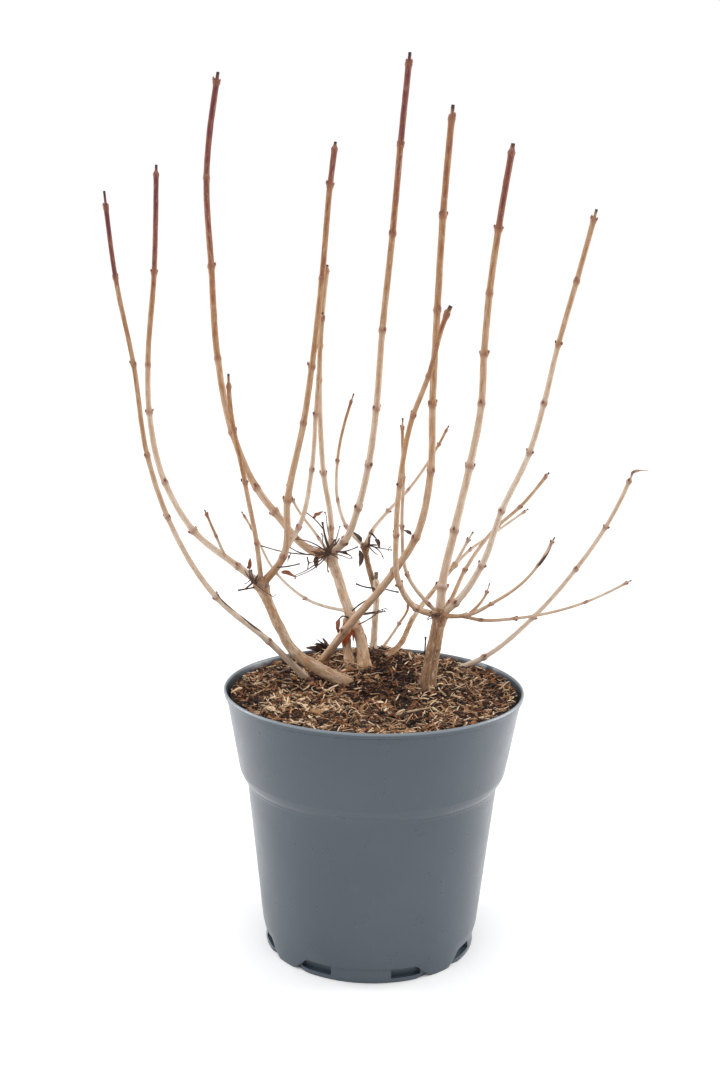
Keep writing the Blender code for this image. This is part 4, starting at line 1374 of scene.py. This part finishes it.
class SHRUB_OT_stalks(Operator):
    """Grow the dry flower stalks and their forks on the knuckles"""

    bl_idname = "shrub.stalks"
    bl_label = "Dry stalks"

    def execute(self, context):
        dry = context.scene.shrub_stalks
        skins = all_skins(context)
        tree = solids_tree()
        rng = random.Random(STALK_SEED)
        material = plain_wood_material("dry_stalk", dry.stalk, 0.8, 0.7, 1200.0)
        for row in STALK_MASSES:
            copies = self.grow(row, skins[row.stands_on].course, tree, rng, dry.thickness)
            new_piece("dry_" + row.name, copies, material, [row.name])
        return {"FINISHED"}

    def grow(self, row, course, tree, rng, thickness):
        """One mass of stalks: a spur, its stalks, and the forks at their ends."""
        foot = course.at_share(row.share)
        out = Vector((math.sin(row.side), -math.cos(row.side), SPUR_LIFT)).normalized()
        size = course.row.knuckle if row.share == 1.0 else course.radius(row.share * course.length)
        spur_end = foot + out * (size + SPUR_LENGTH)
        crown = spur_end - out * SPUR_CROWN
        copies = [(*thread_shape([foot, foot + out * size, crown, spur_end], SPUR_RADII, 10), STILL)]
        made = 0
        for _ in range(6 * row.stalks):
            if made == row.stalks:
                break
            heading = out.copy()
            heading.rotate(Euler(any_way(rng, STALK_FAN)))
            reach = row.reach * rng.uniform(0.45, 1.0)
            sway = any_way(rng) * STALK_SWAY * reach
            end = crown + heading * reach
            way = end - crown
            if tree.ray_cast(crown + way * 0.15, way.normalized(), reach)[0] is not None:
                continue
            made += 1
            self.stalk(crown, end, sway, made, thickness, copies)
        return copies

    def stalk(self, crown, end, sway, number, thickness, copies):
        """One stalk: now a stout broken stub, now a fine stalk with forks."""
        rng = random.Random(f"{crown.x:.4f} {number}")
        if number % 2 == 0:
            end = crown.lerp(end, rng.uniform(0.28, 0.5))
            points = bent_line(crown, end, sway * 0.3, 4)
            stout = thickness * rng.uniform(1.8, 2.8)
            radii = [stout, stout * 0.95, stout * 0.85, stout * 0.8, stout * 0.55]
            copies.append((*thread_shape(points, radii, 8), STILL))
            return
        kink = any_way(rng) * 0.10 * (end - crown).length
        points = bent_line(crown, end, sway + kink)
        radii = [thickness * (1.6 - 0.14 * step) for step in range(len(points))]
        copies.append((*thread_shape(points, radii), STILL))
        self.fork(points, (end - crown).normalized(), thickness, rng, copies)

    def fork(self, points, heading, thickness, rng, copies):
        """Short forks with a small knob, at the end of a stalk."""
        for _ in range(rng.choice((0, 1, 2, 3))):
            base = points[rng.choice((-1, -1, -2))]
            way = heading.copy()
            way.rotate(Euler(any_way(rng, (0.9, 0.9, 0.9))))
            reach = rng.uniform(0.0015, 0.0045)
            line = bent_line(base, base + way * reach, any_way(rng) * 0.15 * reach, 4)
            knob = thickness * rng.choice((0.7, 1.2, 1.9))
            slim = thickness * 0.6
            radii = [thickness * 0.8, slim, slim, knob, knob * 0.7]
            copies.append((*thread_shape(line, radii, 5), STILL))


# A withered leaf hangs at a place, with its length and width in millimetres, how
# far it curls, its turn about Z, its droop and its colour
Leaf = namedtuple("Leaf", "place length width curl turn droop tone")


def leaf(place, length, width, curl, turn, droop, tone):
    """One row of the table of leaves."""
    return Leaf(mm(*place), *mm(length, width), curl, turn, droop, tone)


LEAVES = [
    leaf((-64, 64, 348), 13, 8, 1.7, 0.5, 1.3, "dark"),
    leaf((-55, 66, 348), 11, 6, 1.6, 2.1, 1.4, "dark"),
    leaf((-79, 68, 350), 9, 5, 1.4, 3.0, 1.0, "dark"),
    leaf((-31, 66, 353), 10, 5, 1.5, 0.0, 0.3, "dark"),
    leaf((-58, 70, 384), 11, 8, 1.0, 0.5, -0.7, "rust"),
    leaf((-112, 0, 349), 10, 4, 1.4, 1.4, -1.3, "rust"),
    leaf((-83, -12, 349), 14, 7, 1.2, 0.2, 0.2, "rust"),
    leaf((-15, 97, 349), 16, 10, 1.5, 0.6, 1.35, "dark"),
    leaf((-14, 98, 357), 13, 7, 1.9, 2.4, -0.9, "dark"),
    leaf((-6, 98, 366), 14, 7, 1.8, 0.3, 0.6, "dark"),
    leaf((0, 98, 360), 10, 6, 1.5, 5.8, 0.9, "dark"),
    leaf((-32, 44, 293), 16, 12, 2.4, 2.9, 1.3, "rust"),
    leaf((-34, 44, 284), 10, 9, 2.6, 0.4, 0.9, "rust"),
    leaf((-26, 49, 289), 22, 14, 0.8, 1.2, 1.5, "red"),
    leaf((-22, 48, 284), 14, 12, 0.9, 0.4, 1.2, "red"),
    leaf((238, 89, 428), 17, 6, 1.5, 0.0, -0.35, "tan"),
    leaf((28, -56, 392), 9, 4, 1.6, 2.4, -0.5, "dark"),
]
# A leaf on the mulch at the back has shrivelled into a fan of ragged blades
for blade in range(8):
    odd = blade % 2
    LEAVES.append(leaf((-44, 112 - odd, 242.5), 23 - 1.2 * blade - 3 * odd, 10.5,
                       0.8, 3.05 + 0.15 * odd, -0.34 - 0.17 * blade, "dark"))

# A dry twig runs through its places, with its radii at its foot and its tip, all
# in millimetres
Twig = namedtuple("Twig", "places foot_radius tip_radius tone")


def twig(first, second, third, foot_radius, tip_radius, tone):
    """One row of the table of twigs."""
    places = [mm(*place) for place in (first, second, third)]
    return Twig(places, *mm(foot_radius, tip_radius), tone)


TWIGS = [
    twig((-42, 72, 350), (-47, 71, 365), (-50, 71, 380), 1.5, 0.7, "dark"),
    twig((-58, 70, 349), (-85, 66, 352), (-107, 64, 358), 0.6, 0.5, "dark"),
    twig((-62, 69, 349), (-74, 66, 353), (-83, 65, 359), 0.6, 0.5, "dark"),
    twig((-37, 70, 352), (-26, 67, 354), (-15, 66, 359), 0.7, 0.5, "dark"),
    twig((-48, 70, 372), (-57, 68, 383), (-66, 67, 390), 0.6, 0.5, "dark"),
    twig((-108, 1, 332), (-115, -1, 331), (-122, -3, 330), 0.8, 0.6, "dark"),
    twig((-109, 2, 336), (-110, 1, 342), (-111, 1, 348), 1.4, 1.1, "grey"),
    twig((-101, 1, 332), (-97, -1, 334), (-94, -2, 336), 1.3, 1, "grey"),
    twig((-87, -6, 352), (-77, -10, 354), (-67, -13, 357), 0.7, 0.5, "dark"),
    twig((-1, 92, 313), (-10, 89, 315), (-18, 88, 318), 0.9, 0.6, "dark"),
    twig((5, 92, 314), (14, 89, 312), (25, 88, 310), 0.8, 0.6, "dark"),
    twig((-21, 56, 299), (-13, 52, 307), (-4, 50, 313), 0.8, 0.6, "dark"),
    twig((-19, 56, 284), (-6, 51, 292), (5, 49, 301), 0.7, 0.5, "dark"),
    twig((-17, 58, 286), (-8, 52, 276), (-6, 50, 266), 0.7, 0.4, "dark"),
    twig((-25, 58, 292), (-30, 55, 294), (-34, 53, 290), 0.9, 0.6, "dark"),
    twig((127, -121, 381), (133, -123, 391), (138, -122, 404), 1.1, 0.5, "dark"),
    twig((50, 100, 238), (50.5, 100, 252), (50.8, 100, 265.5), 0.9, 0.7, "dark"),
    twig((-34, 32, 238.5), (-25, 22, 238.8), (-14, 10, 236.8), 1.3, 0.5, "straw"),
    twig((78, 76, 239.5), (94, 56, 239.5), (104, 20, 236.2), 2.4, 1.3, "bark"),
    twig((-90, 50, 239), (-74, 62, 241), (-58, 66, 239.5), 1.1, 0.6, "grey"),
    twig((-44, 110, 236), (-45, 111, 239.5), (-46.2, 112, 242.5), 1.1, 0.8, "dark"),
    twig((1.1, 94.9, 322.2), (1.5, 95, 325.5), (1.2, 95.1, 329.5), 2.1, 1.6, "grey"),
    twig((238.5, 89.5, 426.8), (240, 89.3, 429), (241, 89.1, 430), 0.9, 0.6, "grey"),
    twig((20, -60, 236), (38, -52, 237.5), (52, -40, 236.5), 1.2, 0.5, "straw"),
]


def leaf_shape(row, rng):
    """A withered leaf rolled up and crumpled, with a little thickness, as arrays."""
    shape = bmesh.new()
    bmesh.ops.create_grid(shape, x_segments=12, y_segments=6, size=0.5)
    shift = Vector([rng.uniform(0, 50) for _ in range(3)])
    roll = row.curl / row.width
    for vert in shape.verts:
        u = vert.co.x + 0.5
        outline = math.sin(math.pi * min(1.0, 0.06 + 0.94 * u)) ** 0.7 * (1.15 - 0.5 * u)
        v = vert.co.y * row.width * max(0.06, outline)
        angle = v * roll
        crumple = noise.noise(Vector((u * 3.0, v * 400.0, 0.0)) + shift)
        y = math.sin(angle) / roll
        z = (1.0 - math.cos(angle)) / roll + 0.0011 * crumple
        vert.co = (u * row.length, y, z - 0.35 * row.length * u * u * (0.4 + 0.3 * row.curl / 3.0))
    bmesh.ops.solidify(shape, geom=shape.faces[:], thickness=0.00028)
    bmesh.ops.recalc_face_normals(shape, faces=shape.faces)
    return shape_arrays(shape)


def twig_shape(row, rng):
    """A dry twig along a smooth path, a little uneven, as arrays."""
    path = curve_through([Vector(place) for place in row.places])[0][::2]
    last = len(path) - 1
    radii = []
    for index in range(len(path)):
        size = row.foot_radius + (row.tip_radius - row.foot_radius) * index / last
        radii.append(size * rng.uniform(0.85, 1.15))
    radii[-1] *= 1.5
    return thread_shape(path, radii, 8)


class SHRUB_OT_litter(Operator):
    """Hang the withered leaves and set the broken twigs, on the shrub and on the mulch"""

    bl_idname = "shrub.litter"
    bl_label = "Withered leaves and twigs"

    def execute(self, context):
        dry = context.scene.shrub_stalks
        rng = random.Random(LITTER_SEED)
        heaps = {tone: [] for tone in ("dark", "rust", "red", "tan", "grey", "straw", "bark")}
        for row in LEAVES:
            turn = Euler((rng.uniform(-0.5, 0.5), row.droop, row.turn)).to_matrix().to_4x4()
            heaps[row.tone].append((*leaf_shape(row, rng), Matrix.Translation(row.place) @ turn))
        for row in TWIGS:
            heaps[row.tone].append((*twig_shape(row, rng), STILL))
        for tone, copies in heaps.items():
            material = plain_wood_material("litter_" + tone, getattr(dry, tone), 0.78, 0.55, 700.0)
            new_piece("litter_" + tone, copies, material)
        return {"FINISHED"}


def placed(name, data):
    """An object of the stage, in the scene."""
    made = bpy.data.objects.new(name, data)
    bpy.context.scene.collection.objects.link(made)
    return made


class SHRUB_OT_stage(Operator):
    """Lay the floor and set the light and the camera"""

    bl_idname = "shrub.stage"
    bl_label = "Stage"

    def execute(self, context):
        stage = context.scene.shrub_stage
        self.lay_floor(stage)
        self.set_light(context)
        self.set_camera(context, stage)
        return {"FINISHED"}

    def lay_floor(self, stage):
        """A plain pale floor."""
        shape = bmesh.new()
        bmesh.ops.create_grid(shape, x_segments=1, y_segments=1, size=30.0)
        mesh = bpy.data.meshes.new("floor")
        shape.to_mesh(mesh)
        shape.free()
        material, web = new_material("floor", 0.9, 0.1)
        web.tree.nodes["Principled BSDF"].inputs["Base Color"].default_value = (*stage.floor, 1.0)
        mesh.materials.append(material)
        placed("floor", mesh)

    def set_light(self, context):
        """An even bright room, a wide overhead light and two soft side lamps."""
        world = bpy.data.worlds.new("room")
        world.use_nodes = True
        room = world.node_tree.nodes["Background"].inputs
        room["Color"].default_value = (1.0, 1.0, 1.0, 1.0)
        room["Strength"].default_value = 1.0
        context.scene.world = world
        context.scene.view_settings.view_transform = "Standard"
        above = bpy.data.lights.new("overhead", "SUN")
        above.energy = SUN_POWER
        above.angle = SUN_WIDTH
        placed("overhead", above).rotation_euler = SUN_TURN
        for place, power in LAMPS.items():
            light = bpy.data.lights.new("lamp", "AREA")
            light.shape = "RECTANGLE"
            light.size = LAMP_WIDTH
            light.size_y = LAMP_HEIGHT
            light.energy = power
            lamp = placed("lamp", light)
            lamp.location = place
            lamp.rotation_euler = (LAMPS_FACE - lamp.location).to_track_quat("-Z", "Y").to_euler()

    def set_camera(self, context, stage):
        """The camera, at the angle from which the shrub was photographed."""
        data = bpy.data.cameras.new("camera")
        data.sensor_fit = "AUTO"
        data.sensor_width = SENSOR
        data.lens = SENSOR * stage.focal_pixels / FRAME_HEIGHT
        data.shift_y = (stage.level_pixels - FRAME_HEIGHT / 2) / FRAME_HEIGHT
        data.clip_start = 0.02
        camera = placed("camera", data)
        look = Euler((math.pi / 2 - stage.pitch, 0.0, 0.0)).to_quaternion()
        camera.rotation_mode = "QUATERNION"
        camera.rotation_quaternion = look @ Quaternion((0.0, 0.0, 1.0), stage.roll)
        camera.location = stage.camera_place
        context.scene.camera = camera


class SHRUB_PT_panel(Panel):
    """The steps that build the shrub"""

    bl_idname = "SHRUB_PT_panel"
    bl_label = "Potted shrub"
    bl_space_type = "VIEW_3D"
    bl_region_type = "UI"
    bl_category = "Shrub"

    def draw(self, context):
        for step in STEPS:
            self.layout.operator(step.bl_idname)


STEPS = (SHRUB_OT_pot, SHRUB_OT_mulch, SHRUB_OT_stems, SHRUB_OT_canes, SHRUB_OT_buds,
         SHRUB_OT_stalks, SHRUB_OT_litter, SHRUB_OT_stage)
SETTINGS = {
    "shrub_pot": PotSettings, "shrub_mulch": MulchSettings, "shrub_bark": BarkSettings,
    "shrub_stalks": StalkSettings, "shrub_stage": StageSettings,
}


def register():
    """Make the settings, steps and panel known to Blender."""
    for made in (*SETTINGS.values(), *STEPS, SHRUB_PT_panel):
        bpy.utils.register_class(made)
    for name, group in SETTINGS.items():
        setattr(bpy.types.Scene, name, PointerProperty(type=group))


def unregister():
    """Take the settings, steps and panel out of Blender."""
    for name in SETTINGS:
        delattr(bpy.types.Scene, name)
    for made in (SHRUB_PT_panel, *STEPS, *SETTINGS.values()):
        bpy.utils.unregister_class(made)


def main():
    """Build every piece and the stage."""
    register()
    bpy.ops.shrub.pot()
    bpy.ops.shrub.mulch()
    bpy.ops.shrub.stems()
    bpy.ops.shrub.canes()
    bpy.ops.shrub.buds()
    bpy.ops.shrub.stalks()
    bpy.ops.shrub.litter()
    bpy.ops.shrub.stage()


if __name__ == "__main__":
    main()
